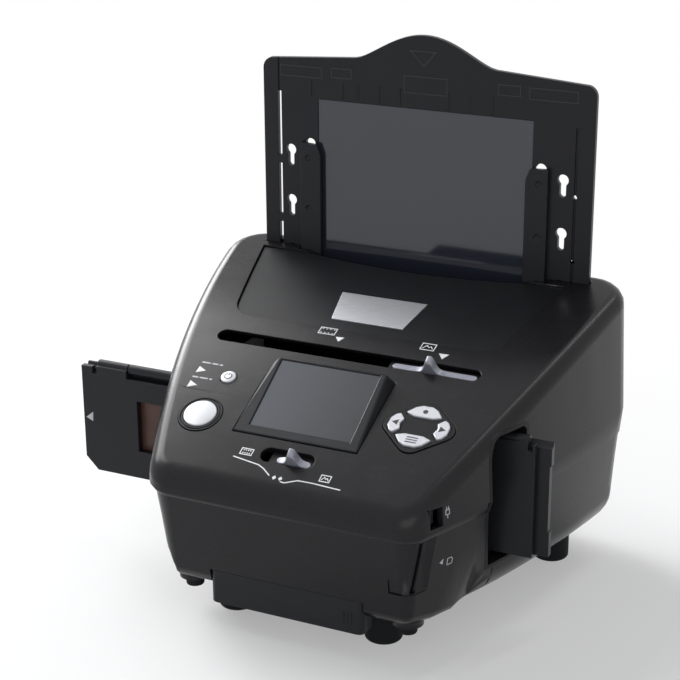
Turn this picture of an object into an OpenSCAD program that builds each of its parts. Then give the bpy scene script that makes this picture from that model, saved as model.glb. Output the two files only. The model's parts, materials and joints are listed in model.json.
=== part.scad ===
// Film and photo scanner: a wedge-shaped housing with a sloping control panel, a film
// holder that slides through it from side to side, and a photo tray that drops in at the back.
// Millimetres. X runs to the right, Y to the back, Z up; the feet stand on Z = 0.

/* [Body] */
// Depth of the body from front to back
body_d = 172; // [168:1:180]
// Half width of the body at its front, at the widest height
front_half_w = 63.5; // [62:0.5:67]
// Width of the body beside the tray, at its back and at the widest height
rear_margin = 23.6; // [22:0.2:26]
// Plan radius of the bowed side walls
side_r = 575; // [540:5:640]
// Plan radius of the two front corners
front_corner_r = 14; // [12:0.5:16]
// Plan radius of the two rear corners
rear_corner_r = 20.5; // [16:0.5:24]
// Height of the widest line at the front
belt_front_z = 66.5; // [65:0.5:67]
// Height of the widest line at the back
belt_rear_z = 77; // [70:0.5:80]
// Height of the joint line between the upper casing and the tub
seam_z = 63.5; // [61:0.5:65]
// Wall thickness of the casing and the tub
wall = 2.5; // [2:0.1:3]
// Inward lean of the side walls above the widest height
draft_up = 0.045; // [0:0.005:0.08]
// Height of the underside of the tub
tub_bottom_z = 15.6; // [14:0.2:18]

/* [Fascia] */
// Height of the rim at the front edge
rim_front_z = 75; // [73:0.5:78]
// Height of the rim at the back edge
rim_rear_z = 136.4; // [132:0.2:140]
// Radius of the gently arched top in side view
fascia_r = 597; // [560:1:700]
// Rounding along the rim
rim_r = 7; // [5:0.5:8]
// Sideways position of the middle of the control layout
layout_x = -4.5; // [-8:0.5:0]

/* [Display] */
// Width of the display glass
lcd_w = 48.8; // [46:0.2:51]
// Height of the display glass along its own slope
lcd_h = 37.6; // [36:0.2:39]
// Distance of the display block's centre from the middle of the body
lcd_y = -38.7; // [-40:0.1:-37.5]
// Width by which the display block's foot is wider than the glass
bezel_extra_w = 12.2; // [11:0.2:14]
// Length by which the display block's foot is longer than the glass
bezel_extra_h = 7.4; // [7:0.1:8.2]
// Extra tilt of the glass towards the user
lcd_tilt = 7.4; // [3:0.2:8]

/* [Controls] */
// Radius of the scan button
scan_r = 7.8; // [7:0.1:8.5]
// Radius of the power button
power_r = 3.7; // [3.2:0.1:4.2]
// Half width of the key ring
nav_half_w = 16.6; // [15:0.2:18]
// Half height of the key ring along the slope
nav_half_h = 15.2; // [14:0.2:16.5]
// Travel of the push buttons and keys
key_travel = 0.6; // [0.4:0.1:0.8]
// Gap round each button and key
key_gap = 0.35; // [0.3:0.05:0.5]

/* [Levers] */
// Width of the long lever slot
slot_w = 7.8; // [7:0.1:9]
// Left end of the long lever slot
slot_left_x = -70.5; // [-72:0.5:-66]
// Sideways position of the film mark, on the optical axis
film_mark_x = -11.5; // [-14:0.5:-9]
// Sideways position of the photo mark
photo_mark_x = 40; // [38:0.5:42]
// Length of the lever shoe in the long slot
lever_len = 40.6; // [36:0.2:41]
// Width of the focus lever slot
focus_slot_w = 8; // [7:0.2:9]
// Length of the focus lever slot
focus_slot_len = 25.6; // [24:0.2:28]
// Length of the focus lever shoe
focus_shoe_len = 16; // [14:0.5:17]
// Sideways travel of the focus lever
focus_travel = 7.5; // [5:0.5:8]
// Forward travel of the lens for the whole travel of the focus lever
lens_travel = 2.5; // [1.5:0.25:3]

/* [Film holder] */
// Thickness of the film holder
holder_t = 7.5; // [7:0.25:9]
// Height of the film holder without its hinge
holder_h = 54; // [50:0.5:56]
// Left end of the film holder
holder_left_x = -136; // [-140:1:-130]
// Right end of the film holder
holder_right_x = 100.8; // [98:0.2:104]
// Front face of the film holder
holder_y = -25; // [-26:0.25:-24]
// Bottom edge of the film holder
holder_z = 37.4; // [36.6:0.1:38.4]
// Width of one picture window
gate_w = 36; // [34:0.5:37]
// Height of one picture window
gate_h = 26; // [24:0.5:30]
// Distance from one picture window to the next
gate_pitch = 38; // [37.5:0.1:39]
// Clearance between the holder and its channel
holder_gap = 0.4; // [0.3:0.05:0.6]

/* [Photo tray] */
// Half width of the tray
tray_half_w = 85; // [84:0.25:86.5]
// Height of the tray's shoulders
tray_top_z = 227.4; // [220:0.2:234]
// Height of the hump above the foot of the hump
hump_h = 13.4; // [10:0.2:18]
// Distance of the tray's front face from the back of the body
tray_inset = 14.4; // [13.5:0.1:15.5]
// Thickness of the tray
tray_t = 3; // [2.8:0.1:3.4]
// Half width of the tray's glass pane opening
pane_half_w = 55.2; // [54:0.2:56]
// Top edge of the glass pane opening
pane_top_z = 208.6; // [200:0.2:210]
// Thickness of the photo guides
guide_t = 2.8; // [2.4:0.1:3]
// Distance from one keyhole to the next
keyhole_pitch = 25.7; // [24:0.1:26.4]
// Distance that a guide lifts before it comes free
guide_lift = 6.6; // [5.6:0.1:7.2]

/* [Feet] */
// Radius of the rubber feet
foot_r = 8.6; // [8:0.1:9.5]
// Height of the rubber of each foot
foot_h = 14; // [11:0.5:15]

/* [Hidden] */

$fn = 64;
far = 400;

// ---- outer form ----
half_d = body_d / 2;
rear_half_w = tray_half_w + rear_margin;
// Centre of a circle of radius r through p and q, to the right of the way from p to q
function arc_centre(p, q, r) =
    let (d = q - p, l = norm(d))
    (p + q) / 2 + [d[1], -d[0]] / l * sqrt(r * r - l * l / 4);
fascia_c = arc_centre([-half_d, rim_front_z], [half_d, rim_rear_z], fascia_r);
side_c = arc_centre([rear_half_w, half_d], [front_half_w, -half_d], side_r);
// Height of the top at a distance y from the middle, and its slope there
function top_z(y) = fascia_c[1] + sqrt(fascia_r * fascia_r - (y - fascia_c[0]) * (y - fascia_c[0]));
function slope(y) = asin((fascia_c[0] - y) / fascia_r);
// Half width of the body at its widest height
function side_x(y) = side_c[0] + sqrt(side_r * side_r - (y - side_c[1]) * (y - side_c[1]));

// Centre of a plan corner of radius r, tangent to the side wall and to the line y
function corner_c(y, r) =
    [side_c[0] + sqrt((side_r - r) * (side_r - r) - (y - side_c[1]) * (y - side_c[1])), y];
front_c = corner_c(-half_d + front_corner_r, front_corner_r);
rear_c = corner_c(half_d - rear_corner_r, rear_corner_r);
front_a = atan2(front_c[1] - side_c[1], front_c[0] - side_c[0]);
rear_a = atan2(rear_c[1] - side_c[1], rear_c[0] - side_c[0]);
corner_n = 6;
side_n = 12;
half_n = 2 * (corner_n + 1) + side_n - 1;
function polar(c, r, a) = [c[0] + r * cos(a), c[1] + r * sin(a)];
// Point i of the right half of the plan outline, moved inwards by e
function plan_point(i, e) =
    i <= corner_n
        ? polar(front_c, front_corner_r - e, -90 + (front_a + 90) * i / corner_n)
    : i < corner_n + side_n
        ? polar(side_c, side_r - e, front_a + (rear_a - front_a) * (i - corner_n) / side_n)
        : polar(rear_c, rear_corner_r - e,
                rear_a + (90 - rear_a) * (i - corner_n - side_n) / corner_n);
function mirrored(pts) = concat(pts, [for (i = [len(pts) - 1:-1:0])
    concat([-pts[i][0], pts[i][1]], len(pts[i]) > 2 ? [pts[i][2]] : [])]);
function outline(e) = mirrored([for (i = [0:half_n - 1]) plan_point(i, e)]);

// Height of the widest line, and inward step of the tub's side, at a distance y from the middle
function along(y, front, rear) = front + (rear - front) * (y + half_d) / body_d;
function belt_z(y) = along(y, belt_front_z, belt_rear_z);
tub_inset_front = 8;
tub_inset_rear = 4.4;
// A level ring, moved inwards by e and by the share k of the tub's step; the belt's ring; and
// a ring that follows the top, down by drop
function tub_in(y) = along(y, tub_inset_front, tub_inset_rear);
function ring_point(i, e, k) = plan_point(i, e + k * tub_in(plan_point(i, 0)[1]));
function level_ring(e, z, k = 0) = mirrored([for (i = [0:half_n - 1])
    let (p = ring_point(i, e, k)) [p[0], p[1], z]]);
function belt_ring(e) = mirrored([for (i = [0:half_n - 1])
    let (p = plan_point(i, e)) [p[0], p[1], belt_z(p[1])]]);
function lean(y) = draft_up * max(0, top_z(y) - rim_r - belt_z(y));
function top_ring(e, drop) = mirrored([for (i = [0:half_n - 1])
    let (p = plan_point(i, e + lean(plan_point(i, 0)[1]))) [p[0], p[1], top_z(p[1]) - drop]]);
// Height of the tub's underside, which rises towards the front
tub_rise = 7;
tub_rise_y = -20;
function under_z(y) =
    tub_bottom_z + tub_rise * pow(max(0, (tub_rise_y - y) / (half_d + tub_rise_y)), 2);
function under_ring(e, up) = mirrored([for (i = [0:half_n - 1])
    let (p = ring_point(i, e, 1)) [p[0], p[1], under_z(p[1]) + up]]);

// Closed skin through a stack of rings, from the lowest to the highest
module skin(rings) {
    n = 2 * half_n;
    last = len(rings) - 1;
    sides = [for (k = [0:last - 1], i = [0:n - 1], s = [0, 1])
        let (j = (i + 1) % n, a = k * n, b = (k + 1) * n)
        s == 0 ? [a + i, b + i, b + j] : [a + i, b + j, a + j]];
    floor_f = [for (i = [0:half_n - 2]) [i, i + 1, n - 2 - i, n - 1 - i]];
    top_f = [for (i = [0:half_n - 2])
        [last * n + n - 1 - i, last * n + n - 2 - i, last * n + i + 1, last * n + i]];
    polyhedron([for (r = rings) each r], concat(sides, floor_f, top_f));
}

// Everything under the arched top, less a depth d measured square to it
module under_top(d) {
    translate([0, fascia_c[0], fascia_c[1]])
        rotate([0, 90, 0])
        cylinder(r = fascia_r - d, h = 2 * far, center = true, $fn = 200);
}
// A layer of the top between two depths
module top_layer(d0, d1) {
    difference() {
        under_top(d0);
        under_top(d1);
    }
}
// Children placed on the top at x, y, with Z square to the surface
module on_top(x, y) {
    translate([x, y, top_z(y)])
        rotate([slope(y), 0, 0])
        children();
}
// Extrusion from z0 to z1
module slab(z0, z1) {
    translate([0, 0, z0])
        linear_extrude(z1 - z0)
        children();
}
module box(lo, hi) {
    translate(lo)
        cube(hi - lo);
}
// Slot with round ends, centred, len long over the ends
module slot2d(len, w) {
    square([len - w, w], center = true);
    for (s = [-1, 1])
        translate([s * (len - w) / 2, 0])
            circle(d = w);
}
// Outline points turned to face along X: drawn in (Y, Z), extruded from x0 to x1
module along_x(x0, x1) {
    translate([x0, 0, 0])
        rotate([90, 0, 90])
        linear_extrude(x1 - x0)
        children();
}
// Drawn in (X, Z), extruded from y0 to y1
module along_y(y0, y1) {
    translate([0, y1, 0])
        rotate([90, 0, 0])
        linear_extrude(y1 - y0)
        children();
}

// ---- shared places ----
// Shares of the tub's step that the wall has taken at the joint line and half way down
seam_share = 0.27;
mid_share = 0.56;
mid_z = 50;
tub_step = 0.5;
tub_round = 5.2;
floor_front_z = 25.2;
floor_z = 21;
floor_step_y = -45;
in_x = film_mark_x;
in_z = holder_z + holder_h / 2;

// display
module at_lcd() {
    on_top(layout_x, lcd_y)
        children();
}
glass_lift = 0.15;
glass_low = 4.7;
glass_shift = 0.8;
// Height of the block's sloping top above the fascia at the local y
function block_z(y) = glass_lift + (y + bezel_h / 2) * tan(lcd_tilt);
bezel_w = lcd_w + bezel_extra_w;
bezel_h = lcd_h + bezel_extra_h;
glass_mid_y = (glass_low + lcd_h / 2) * cos(lcd_tilt) - bezel_h / 2;
// Places children on the sloping top of the block, centred on the glass
module at_glass() {
    at_lcd()
        translate([glass_shift, glass_mid_y, block_z(glass_mid_y)])
        rotate([lcd_tilt, 0, 0])
        children();
}
glass_t = 1.2;
glass_deep = 0.5;
ledge_t = 1.2;
module_t = 3;
part_gap = 0.2;
// Leans of the block's left and right sides
block_lean = [42, 24];
block_flange = 1.4;
flange_t = 1.3;

// controls
scan_at = [-53.8, -53.8];
power_at = [-51.4, -31.4];
light_at = [[-66.6, -29.7], [-66.4, -38.7]];
nav_at = [46.8, -40.4];
ring_out_r = scan_r + 2.4;
cap_up = 0.9;
board_depth = 8.2;
board_t = 1.2;
switch_h = 1.5;
switch_w = 4;
stem_gap = key_travel + 0.3;
ring_low = 3.9;
collar_t = 0.9;
collar_up = 1.2;
stem_r = 1.8;
stem_low = board_depth - switch_h - stem_gap;

// levers
mode_y = -5.8;
focus_y = -67.4;
shoe_end_gap = 1.1;
slot_right_x = photo_mark_x + lever_len / 2 + shoe_end_gap;
focus_x = film_mark_x + 8.2;
focus_rest_x = focus_x + focus_slot_len / 2 - focus_shoe_len / 2 - shoe_end_gap;
shoe_w = 3.6;
shoe_t = 2;
shoe_drop = 0.3;
fin_h = 8;

// film holder
holder_back_y = holder_y + holder_t;
holder_mid_z = holder_z + holder_h / 2;
cover_t = 3.4;
cover_right_x = holder_right_x - 6.4;
gate_n = 4;
first_gate_x = film_mark_x - 2 * gate_pitch;
film_t = 0.6;
film_w = 35;
barrel_r = 2.4;
pin_r = 0.9;
hinge_y = holder_y + cover_t;
hinge_z = holder_z + holder_h + 0.6;

// film ports
port_y0 = -40;
port_low_y0 = -33.5;
port_y1 = holder_back_y + 0.9;
port_z0 = holder_z - 3;
port_z1 = 97;
port_wall = 1.5;
port_floor_x = 72;
port_r = 9;

// film channel
rail_half = port_floor_x - 2;
rail_t = 2;
guide_wall_h = 6;
rod_r = 2;
rod_fit = 0.08;
rod_y = -7.5;
rod_top_z = holder_mid_z + 24;
rod_low_z = holder_mid_z - 24;
post_x = 63;

// light carriage
light_w = 44;
light_h = 38;
light_y0 = -12;
light_y1 = -4;
light_wall = 1.5;

// camera
barrel_out_r = 7.5;
barrel_fit = 0.06;
barrel_y0 = -58;
barrel_y1 = -38;
mount_half = 9.8;
follower_r = 1.2;
follower_y = -51;

// tray
tray_y = half_d - tray_inset;
tray_gap = 0.4;
tray_bottom_z = 24;
tray_back_y = tray_y + tray_t;
pane_bottom_z = 45;
pane_t = 1.6;
pane_set = 0.4;
guide_in_x = tray_half_w - 32;
guide_w = 11;
guide_top_z = 187;
guide_low_z = 42;
guide_gap = 0.25;
guide_front_y = tray_y - guide_gap - guide_t;
inner_key_x = guide_in_x + 6.6;
outer_key_x = inner_key_x + 10.8;
peg_z = 179.5;
outer_drop = 4;
key_rows = 5;
peg_rows = [0, 1, 3];
peg_r = 1.5;
peg_fit = 0.08;
peg_head_r = 2.3;
key_wide_r = 2.7;
mouth_front_y = guide_front_y - 0.8;
mouth_back_y = tray_back_y + 2;
mouth_half_x = guide_in_x + guide_w + 1.2;
rail_lip = 3.4;
rail_wall = 2.2;
scoop_y = tray_y - 9.6;
scoop_half_x = 62;

// top panel
panel_front_y = 9.5;
panel_front_half = 69;
panel_rear_half = rear_half_w - 29.1;
panel_rear_y = tray_y - 4.6;
panel_down = 1;
panel_t = 2;
panel_lip = 2.4;
panel_r = 12;

// ---- casing ----
fillet_steps = 5;
module casing_outer() {
    skin(concat(
        [level_ring(0, seam_z, seam_share)],
        [belt_ring(0)],
        [for (k = [0:fillet_steps])
            let (a = 90 * k / fillet_steps)
            top_ring(rim_r * (1 - cos(a)), rim_r * (1 - sin(a)))]));
}
module casing_inner() {
    intersection() {
        skin([level_ring(wall, seam_z - 1, seam_share),
              belt_ring(wall),
              each [for (k = [0:fillet_steps - 1])
                  let (a = 90 * k / fillet_steps, r = rim_r - wall)
                  top_ring(wall + r * (1 - cos(a)), wall + r * (1 - sin(a)))],
              top_ring(wall + (rim_r - wall) * 0.7, -8)]);
        under_top(wall);
    }
}
module tub_outer() {
    skin(concat(
        [for (k = [0:3])
            let (a = 90 * k / 3)
            under_ring(tub_round * (1 - sin(a)), tub_round * (1 - cos(a)))],
        [level_ring(tub_step / 2, mid_z, mid_share),
         level_ring(tub_step, seam_z, seam_share)]));
}
module tub_inner() {
    intersection() {
        skin([level_ring(wall, 10, 1),
              level_ring(wall, floor_front_z + tub_round, 1),
              level_ring(tub_step / 2 + wall, mid_z, mid_share),
              level_ring(tub_step + wall, seam_z + 1, seam_share)]);
        along_x(-far, far)
            polygon([[-far, floor_front_z], [floor_step_y, floor_front_z], [floor_step_y, floor_z],
                     [far, floor_z], [far, far], [-far, far]]);
    }
}
// Opening of a film port in the side wall, drawn in (Y, Z) and grown by g
module port_shape(g) {
    y0 = port_y0 - g;
    y1 = port_y1 + g;
    z0 = port_z0 - g;
    z1 = port_z1 + g;
    r = port_r + g;
    polygon(concat([[port_low_y0 - g, z0], [y1, z0]],
        [[y1, z1 - 2], [y1 - 2, z1]],
        [for (a = [90:15:180]) [y0 + r + r * cos(a), z1 - r + r * sin(a)]],
        [[y0, mid_z + 20]]));
}
// Mouth of the photo tray, from above
module tray_mouth() {
    box([-mouth_half_x, mouth_front_y, 100], [mouth_half_x, mouth_back_y, far]);
    box([-tray_half_w - tray_gap, tray_y - tray_gap, 100],
        [tray_half_w + tray_gap, tray_back_y + tray_gap, far]);
    scoop();
}
// Finger scoop in front of the tray: the end of a large disc
module scoop() {
    sag = mouth_front_y - scoop_y;
    r = (scoop_half_x * scoop_half_x + sag * sag) / (2 * sag);
    intersection() {
        translate([0, scoop_y + r, 100])
            cylinder(r = r, h = far, $fn = 180);
        box([-far, 0, 100], [far, mouth_front_y + 1, far]);
    }
}
// Plan outline of the sunken top panel, grown by g
module panel_shape(g) {
    f = panel_front_half + g;
    b = panel_rear_half + g;
    y0 = panel_front_y - g;
    y1 = panel_rear_y;
    r = panel_r + g;
    translate([layout_x, 0])
        polygon(concat(
            [for (a = [-90:15:-10]) [f - r + r * cos(a), y0 + r + r * sin(a)]],
            [[b, y1], [-b, y1]],
            [for (a = [190:15:270]) [-f + r + r * cos(a), y0 + r + r * sin(a)]]));
}
module nav_shape(g) {
    r = 6 + g;
    x = nav_half_w - 6;
    y = nav_half_h - 6;
    a = atan2(x, y);
    polygon([for (q = [[x, 0, -a, a], [0, y, a, 180 - a],
                       [-x, 0, 180 - a, 180 + a], [0, -y, 180 + a, 360 - a]], t = [0:0.2:1])
        let (b = q[2] + (q[3] - q[2]) * t) [q[0] + r * cos(b), q[1] + r * sin(b)]]);
}
module triangle2d(s) {
    polygon([[-s * 0.45, -s * 0.5], [s * 0.55, 0], [-s * 0.45, s * 0.5]]);
}
usb_y = -72.6;
usb_z = 72.6;
usb_w = 7;
usb_h = 8.8;
card_y = -half_d + 10;
card_z = 49.4;
card_slot_t = 2.2;
card_slot_h = 24.6;
card_socket_y0 = card_y - card_slot_t / 2 - 0.4;
port_right_x = 54;
// Shallow finger recess round the card slot: depth, front and rear edges
card_dish = 0.8;
card_dish_y = [-half_d + 5.6, -half_d + 16.5];
boss_r = 4;
screw_r = 1.5;
boss_at = [[-53, -half_d + 21], [53, -half_d + 21], [-75, 6], [75, 6],
           [-81, half_d - 44], [81, half_d - 44]];

module upper_casing() {
    color([0.10, 0.10, 0.11])
    difference() {
        casing_outer();
        casing_inner();
        // openings of the control panel
        at_lcd()
            slab(-20, 20)
            square([bezel_w, bezel_h], center = true);
        on_top(scan_at[0], scan_at[1])
            slab(-10, 10)
            circle(r = ring_out_r + part_gap);
        on_top(power_at[0], power_at[1])
            slab(-10, 10)
            circle(r = power_r + key_gap);
        on_top(nav_at[0], nav_at[1])
            slab(-10, 10)
            nav_shape(part_gap);
        for (p = light_at)
            on_top(p[0], p[1])
                slab(-10, 10)
                triangle2d(4.4);
        on_top((slot_left_x + slot_right_x) / 2, mode_y)
            slab(-10, 10)
            slot2d(slot_right_x - slot_left_x, slot_w);
        on_top(focus_x, focus_y)
            slab(-10, 10)
            slot2d(focus_slot_len, focus_slot_w);
        slab(90, far)
            panel_shape(0);
        tray_mouth();
        for (s = [0, 1])
            mirror([s, 0, 0])
                along_x(port_floor_x, far)
                port_shape(port_wall);
        box([50, usb_y - usb_w / 2, usb_z - usb_h / 2], [90, usb_y + usb_w / 2, usb_z + usb_h / 2]);
    }
    // posts that carry the two key boards
    color([0.10, 0.10, 0.11])
    for (p = left_posts)
        at_left_board()
            translate([p[0], p[1], -board_depth])
            cylinder(r = 2, h = board_depth - wall + 0.3);
    color([0.10, 0.10, 0.11])
    for (p = right_posts)
        at_right_board()
            translate([p[0], p[1], -board_depth])
            cylinder(r = 2, h = board_depth - wall + 0.3);
    // posts that take the case screws
    color([0.10, 0.10, 0.11])
    for (p = boss_at)
        difference() {
            intersection() {
                translate([p[0], p[1], boss_top_z])
                    cylinder(r = boss_r, h = 100);
                under_top(wall);
                casing_outer_solid();
            }
            translate([p[0], p[1], boss_top_z - 1])
                cylinder(r = screw_r, h = screw_bite + 2);
        }
}
module casing_outer_solid() {
    slab(seam_z - 5, far)
        polygon(outline(wall + 0.4));
}

module lower_tub() {
    color([0.09, 0.09, 0.10])
    difference() {
        union() {
            difference() {
                tub_outer();
                tub_inner();
            }
            for (p = boss_at)
                translate([p[0], p[1], under_z(p[1]) + 1])
                    cylinder(r = boss_r, h = boss_top_z - under_z(p[1]) - 1);
            for (p = standoff_at)
                translate([p[0], p[1], floor_z - 1])
                    cylinder(r = 3, h = standoff_h + 1);
            for (p = foot_front)
                foot_column(p, foot_r - 0.6, foot_h);
            for (p = foot_middle)
                foot_column(p, foot_small_r - 0.6, post_z[1]);
            for (p = foot_rear)
                foot_column(p, foot_r - 0.6, foot_h);
        }
        for (p = boss_at) {
            translate([p[0], p[1], 0])
                cylinder(r = screw_head_r + 0.3, h = boss_sink_z);
            translate([p[0], p[1], 0])
                cylinder(r = screw_r + 0.2, h = far);
        }
        for (s = [0, 1])
            mirror([s, 0, 0])
                along_x(port_floor_x, far)
                port_shape(port_wall);
        box([port_right_x, card_y - card_slot_t / 2, card_z - card_slot_h / 2],
            [90, card_y + card_slot_t / 2, card_z + card_slot_h / 2]);
        box([-apron_half_w, -far, 0], [apron_half_w, apron_back_y, apron_top_z]);
        // pocket for the card socket and the finger recess round its slot
        box([apron_half_w + 0.5, card_socket_y0 - 0.1, card_z - card_slot_h / 2 - 1.4],
            [port_right_x, card_y, far]);
        difference() {
            box([50, card_dish_y[0], card_z - card_slot_h / 2 - 0.4], [90, card_dish_y[1], far]);
            skin([level_ring(card_dish, tub_bottom_z + tub_rise + tub_round - 0.7, 1),
                  level_ring(tub_step / 2 + card_dish, mid_z, mid_share),
                  level_ring(tub_step + card_dish, seam_z + 1, seam_share)]);
        }
        for (p = standoff_at)
            translate([p[0], p[1], floor_z - 0.5])
                cylinder(r = board_screw_r, h = far);
        for (p = mount_screw_at)
            translate([p[0], p[1], floor_front_z - 3])
                cylinder(r = board_screw_r, h = far);
    }
}
screw_head_r = 2.8;
screw_head_t = 2;
boss_sink_z = 29;
boss_top_z = seam_z - 3;
screw_bite = 7;
board_screw_r = 1.1;
board_head_r = 2.1;
board_head_t = 1.3;
standoff_h = 3;
board_back_y = tray_y - 9.6;
standoff_at = [[-54, 12], [54, 12], [-54, board_back_y - 6], [54, board_back_y - 6]];
mount_screw_at = [[film_mark_x - 13, -53], [film_mark_x + 13, -53]];
apron_half_w = 37.5;
apron_back_y = -half_d + 18;
apron_top_z = 28.5;
apron_low_z = 12.5;
apron_front_y = -half_d + tub_inset_front - 0.3;

// ---- feet ----
foot_small_r = 7.6;
foot_front = [[-36.8, -half_d + 31.6], [36.8, -half_d + 31.6]];
foot_middle = [boss_at[0], boss_at[1]];
post_z = [9, 16.5];
foot_rear = [[-78, half_d - 34], [78, half_d - 34]];
foot_round = 1.6;
module foot_column(p, r, z) {
    translate([p[0], p[1], z])
        cylinder(r = r, h = floor_z - z);
}
module rubber_foot(p, r) {
    translate([p[0], p[1], 0])
        rotate_extrude()
        polygon(concat([[0, 0]],
            [for (a = [-90:15:0]) [r - foot_round + foot_round * cos(a), foot_round + foot_round * sin(a)]],
            [[r, foot_h], [0, foot_h]]));
}
module front_feet() {
    color([0.05, 0.05, 0.05])
    for (p = foot_front)
        rubber_foot(p, foot_r);
}
module middle_feet() {
    color([0.05, 0.05, 0.05])
    for (p = foot_middle)
        translate([p[0], p[1], post_z[0]])
        difference() {
            cylinder(r = foot_small_r, h = post_z[1] - post_z[0]);
            translate([0, 0, -1])
                cylinder(r = screw_head_r + 0.6, h = far);
        }
}
module rear_feet() {
    color([0.05, 0.05, 0.05])
    for (p = foot_rear)
        rubber_foot(p, foot_r);
}

module rounded_disc(r, h, e) {
    rotate_extrude()
        polygon(concat([[0, 0], [r, 0]],
            [for (a = [0:30:90]) [r - e + e * cos(a), h - e + e * sin(a)]],
            [[0, h]]));
}

// ---- apron, top panel and plate ----
module front_apron() {
    color([0.09, 0.09, 0.10])
    difference() {
        slab(apron_low_z, apron_top_z)
            apron_plan(0);
        slab(apron_low_z + wall, apron_top_z + 1)
            apron_plan(-2);
        // short fine grooves by the right end
        for (x = [28.4, 30.2, 32])
            box([x, apron_front_y - 1, apron_low_z + 4.4],
                [x + 0.5, apron_front_y + 0.4, apron_low_z + 10.4]);
    }
}
module apron_plan(g) {
    x = apron_half_w + g;
    y0 = apron_front_y - g;
    y1 = apron_back_y + g;
    r = 3 + g;
    polygon(concat([for (a = [-90:15:0]) [x - r + r * cos(a), y0 + r + r * sin(a)]],
        [[x, y1], [-x, y1]],
        [for (a = [180:15:270]) [-x + r + r * cos(a), y0 + r + r * sin(a)]]));
}
module top_panel() {
    color([0.11, 0.11, 0.12])
    difference() {
        union() {
            intersection() {
                top_layer(panel_down, wall + panel_t);
                slab(90, far)
                    panel_shape(-part_gap);
            }
            intersection() {
                top_layer(wall, wall + panel_t);
                slab(90, far)
                    panel_shape(panel_lip);
                box([-far, 0, 0], [far, panel_rear_y - part_gap, far]);
            }
        }
        tray_mouth();
        intersection() {
            top_layer(wall, wall + panel_t + 1);
            for (p = boss_at)
                translate([p[0], p[1], 90])
                    cylinder(r = boss_r + part_gap, h = far);
        }
        intersection() {
            top_layer(-5, panel_down + plate_set);
            slab(90, far)
                plate_shape(0.1);
        }
    }
}
plate_set = 0.5;
plate_proud = 0.3;
module plate_shape(g) {
    translate([layout_x, 0])
        polygon([[18.2 + g, 17.6 - g], [22 + g, 38 + g], [-22 - g, 38 + g], [-18.2 - g, 17.6 - g]]);
}
module name_plate() {
    color([0.70, 0.71, 0.73])
    intersection() {
        top_layer(panel_down - plate_proud, panel_down + plate_set);
        slab(90, far)
            plate_shape(0);
    }
}

// ---- display ----
module lcd_bezel() {
    w = bezel_w - 2 * part_gap;
    h = bezel_h - 2 * part_gap;
    low = -wall - flange_t + 0.4;
    top = 9;
    color([0.10, 0.10, 0.11])
    difference() {
        union() {
            at_lcd()
                intersection() {
                    along_x(-w, w)
                        polygon([[-h / 2, low], [h / 2, low], [h / 2, 0],
                                 [h / 2 - 1.6, block_z(h / 2 - 1.6)], [-h / 2, block_z(-h / 2)]]);
                    along_y(-h, h)
                        polygon([[-w / 2, low], [w / 2, low], [w / 2, 0],
                                 [w / 2 - top * tan(block_lean[1]), top],
                                 [-w / 2 + top * tan(block_lean[0]), top], [-w / 2, 0]]);
                }
            intersection() {
                top_layer(wall, wall + flange_t);
                at_lcd()
                    slab(-12, 3)
                    square([bezel_w + 2 * block_flange, bezel_h + 2 * block_flange], center = true);
            }
        }
        at_glass() {
            slab(-glass_deep - glass_t, 20)
                square([lcd_w + 0.2, lcd_h + 0.2], center = true);
            slab(-20, 1)
                square([lcd_w - 3, lcd_h - 3], center = true);
            slab(-20, -glass_deep - glass_t - ledge_t)
                square([lcd_w + 1.6, lcd_h], center = true);
        }
    }
}
module lcd_window() {
    color([0.20, 0.23, 0.28])
    at_glass()
        slab(-glass_deep - glass_t, -glass_deep)
        square([lcd_w, lcd_h], center = true);
}
module lcd_module() {
    low = -glass_deep - glass_t - ledge_t;
    color([0.25, 0.27, 0.28])
    at_glass() {
        slab(low - module_t, low)
            square([lcd_w + 1.4, lcd_h - 0.2], center = true);
        slab(low - 0.1, low + ledge_t - 0.1)
            square([lcd_w - 3.4, lcd_h - 3.4], center = true);
    }
}

// ---- buttons and keys ----
left_board_at = [-57, -43];
left_posts = [[-12.5, -13], [11.5, 3], [-12.5, 10]];
right_posts = [[14, -10.2], [-14, -10.2], [14, 10], [-14, 10]];
module at_left_board() {
    on_top(left_board_at[0], left_board_at[1])
        children();
}
module at_right_board() {
    on_top(nav_at[0], nav_at[1])
        children();
}
// Where the axis of a button at p, followed down by d, lies in the frame of a board at b
function seen_from(b, p, d) =
    let (s = slope(b[1]), t = slope(p[1]))
    [p[0] - b[0],
     (p[1] + d * sin(t) - b[1]) * cos(s) + (top_z(p[1]) - d * cos(t) - top_z(b[1])) * sin(s)];
left_switches = [seen_from(left_board_at, scan_at, board_depth),
                 seen_from(left_board_at, power_at, board_depth)];
key_reach = 11;
right_switches = [[key_reach, 0], [-key_reach, 0], [0, key_reach - 2], [0, 2 - key_reach]];

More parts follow.
